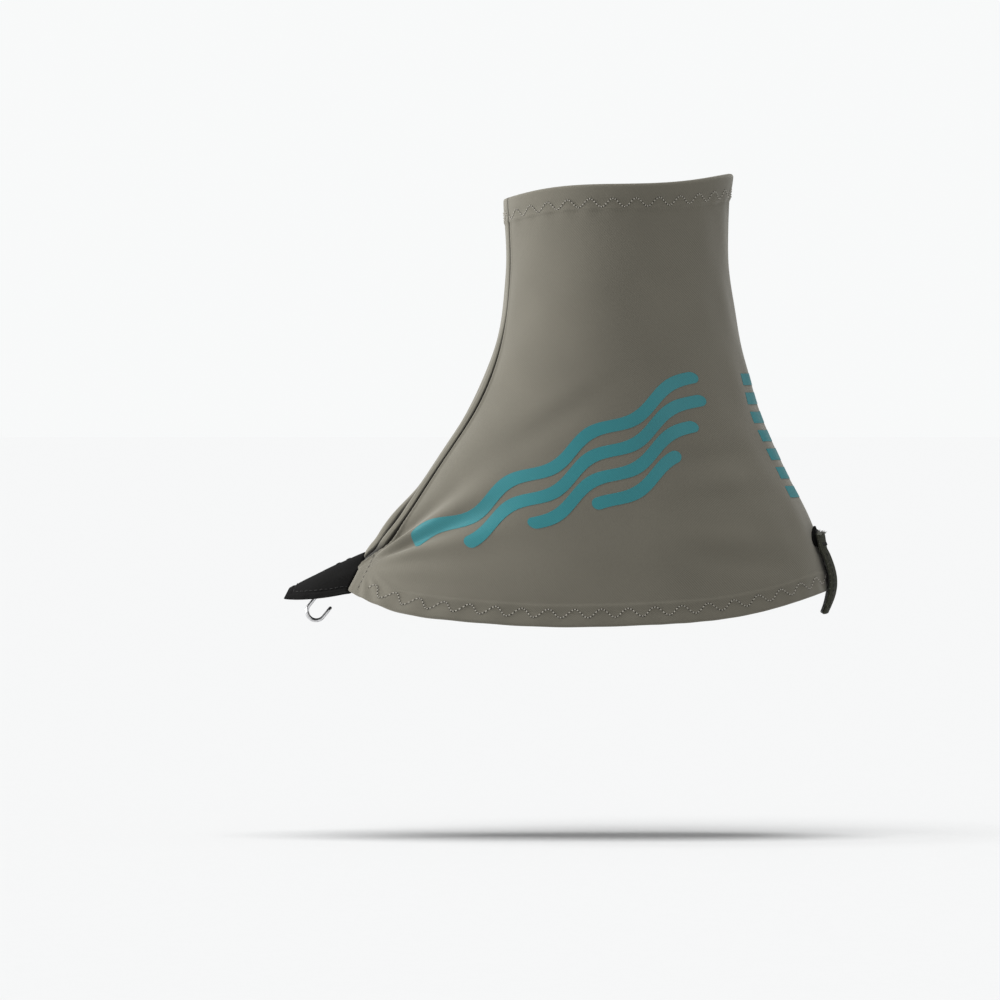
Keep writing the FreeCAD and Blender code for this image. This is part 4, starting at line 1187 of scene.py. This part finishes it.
for piece, body, node, slot_name in (
        (sleeve, "sleeve", "sleeve_fabric", "sleeve_cloth"),
        (overlock, "sleeve", "front_seam_overlock", "seam_thread"),
        (top_elastic, "sleeve", "top_hem_elastic", "elastic"),
        (bottom_elastic, "sleeve", "bottom_hem_elastic", "elastic"),
        (top_stitches, "sleeve", "top_hem_stitching", "hem_thread"),
        (bottom_stitches, "sleeve", "bottom_hem_stitching", "hem_thread"),
        (tab_stitches, "sleeve", "front_tab_stitching", "seam_thread"),
        (side_bands, "sleeve", "side_print", "print_film"),
        (rear_blocks, "sleeve", "rear_print", "print_film"),
        (strap_anchor, "sleeve", "heel_strap_anchor", "strap_webbing"),
        (strap_bartacks, "sleeve", "heel_strap_bartack", "black_thread"),
        (webbing_loop, "tab", "hook_webbing_loop", "webbing"),
        (loop_bartacks, "tab", "hook_loop_bartack", "black_thread")):
    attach(piece, body)
    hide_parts(node)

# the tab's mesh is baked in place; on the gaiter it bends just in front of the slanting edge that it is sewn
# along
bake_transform(tab)
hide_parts("front_tab", "front_tab_anchor")
for piece, node, slot_name in ((heel_strap, "heel_strap", "strap_webbing"),
                               (hook_pad, "heel_hook_pad", "hook_tape"),
                               (strap_stitches, "heel_strap_stitching", "black_thread")):
    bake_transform(piece)
    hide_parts(node)

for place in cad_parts["lace_hook"].material_slots:
    place.material = hook_wire

# ---- Stage, light and camera ----

FLOOR = -264.5
FLOOR_HALF = 40000.0


def build_floor():
    """A wide pale floor, flat all round, that reaches as far as can be seen."""
    near = 8000.0 * np.linspace(-1.0, 1.0, 17)
    lines = np.concatenate([[-FLOOR_HALF, -20000.0], near, [20000.0, FLOOR_HALF]])
    points = np.stack(np.broadcast_arrays(lines, lines[:, None], FLOOR), -1)
    face, ri, rj = grid_faces(len(lines), len(lines))
    return make_mesh("floor", points, face, points[..., :2][ri, rj], [paper_material("floor_paper")])


floor = build_floor()

CENTRE = np.array((-0.02, 0.0, -0.10))
# both lamps are kept off the floor, which is evenly lit from above
flagged = bpy.data.collections.new("flagged")
flagged.objects.link(floor)
flagged.collection_objects[0].light_linking.link_state = "EXCLUDE"
for name, place, size, power in (("key", (-1.75, -0.05, -0.02), (0.8, 1.0), 60.0),
                                 ("fill", (1.2, -1.5, 0.5), (1.4, 1.4), 9.0)):
    lamp = bpy.data.lights.new(name, "AREA")
    lamp.shape = "RECTANGLE"
    lamp.size, lamp.size_y = size
    lamp.energy = power
    light = put(name, lamp)
    light.location = place
    light.visible_camera = False
    x, y, z = CENTRE - place
    light.rotation_euler = (math.atan2(math.hypot(x, y), -z), 0.0, math.atan2(y, x) - math.pi / 2)
    light.light_linking.receiver_collection = flagged

# a wide soft light from straight above, the same all over the floor
sun = bpy.data.lights.new("overhead", "SUN")
sun.energy = 2.7
sun.angle = math.radians(50.0)
put("overhead", sun).rotation_euler = (math.radians(8.0), math.radians(-6.0), 0.0)

# the pale backdrop far behind the floor, which gives less light than it shows
world = bpy.data.worlds.new("studio")
world.use_nodes = True
nodes, links = world.node_tree.nodes, world.node_tree.links
either = nodes.new("ShaderNodeMixShader")
links.new(nodes.new("ShaderNodeLightPath").outputs["Is Camera Ray"], either.inputs[0])
for number, background, colour, strength in (
        (1, nodes.new("ShaderNodeBackground"), (0.95, 0.96, 0.97, 1.0), 0.22),
        (2, nodes["Background"], (0.97, 0.98, 0.98, 1.0), 0.97)):
    background.inputs["Color"].default_value = colour
    background.inputs["Strength"].default_value = strength
    links.new(background.outputs[0], either.inputs[number])
links.new(either.outputs[0], nodes["World Output"].inputs["Surface"])
scene = bpy.context.scene
scene.world = world
scene.view_settings.view_transform = "Standard"
scene.view_settings.look = "None"

VIEW_WIDTH = 0.407
DISTANCE = 4.0
ELEVATION = math.radians(0.6)
SENSOR = 36.0
AIM = (-0.048, 0.0, -0.1274)
lens = bpy.data.cameras.new("camera")
lens.sensor_width = SENSOR
lens.lens = SENSOR * DISTANCE / VIEW_WIDTH
lens.clip_start = 0.05
lens.clip_end = 200.0
camera = put("camera", lens)
camera.location = (AIM[0], AIM[1] - DISTANCE * math.cos(ELEVATION), AIM[2] + DISTANCE * math.sin(ELEVATION))
camera.rotation_euler = (math.pi / 2 - ELEVATION, 0.0, 0.0)
scene.camera = camera
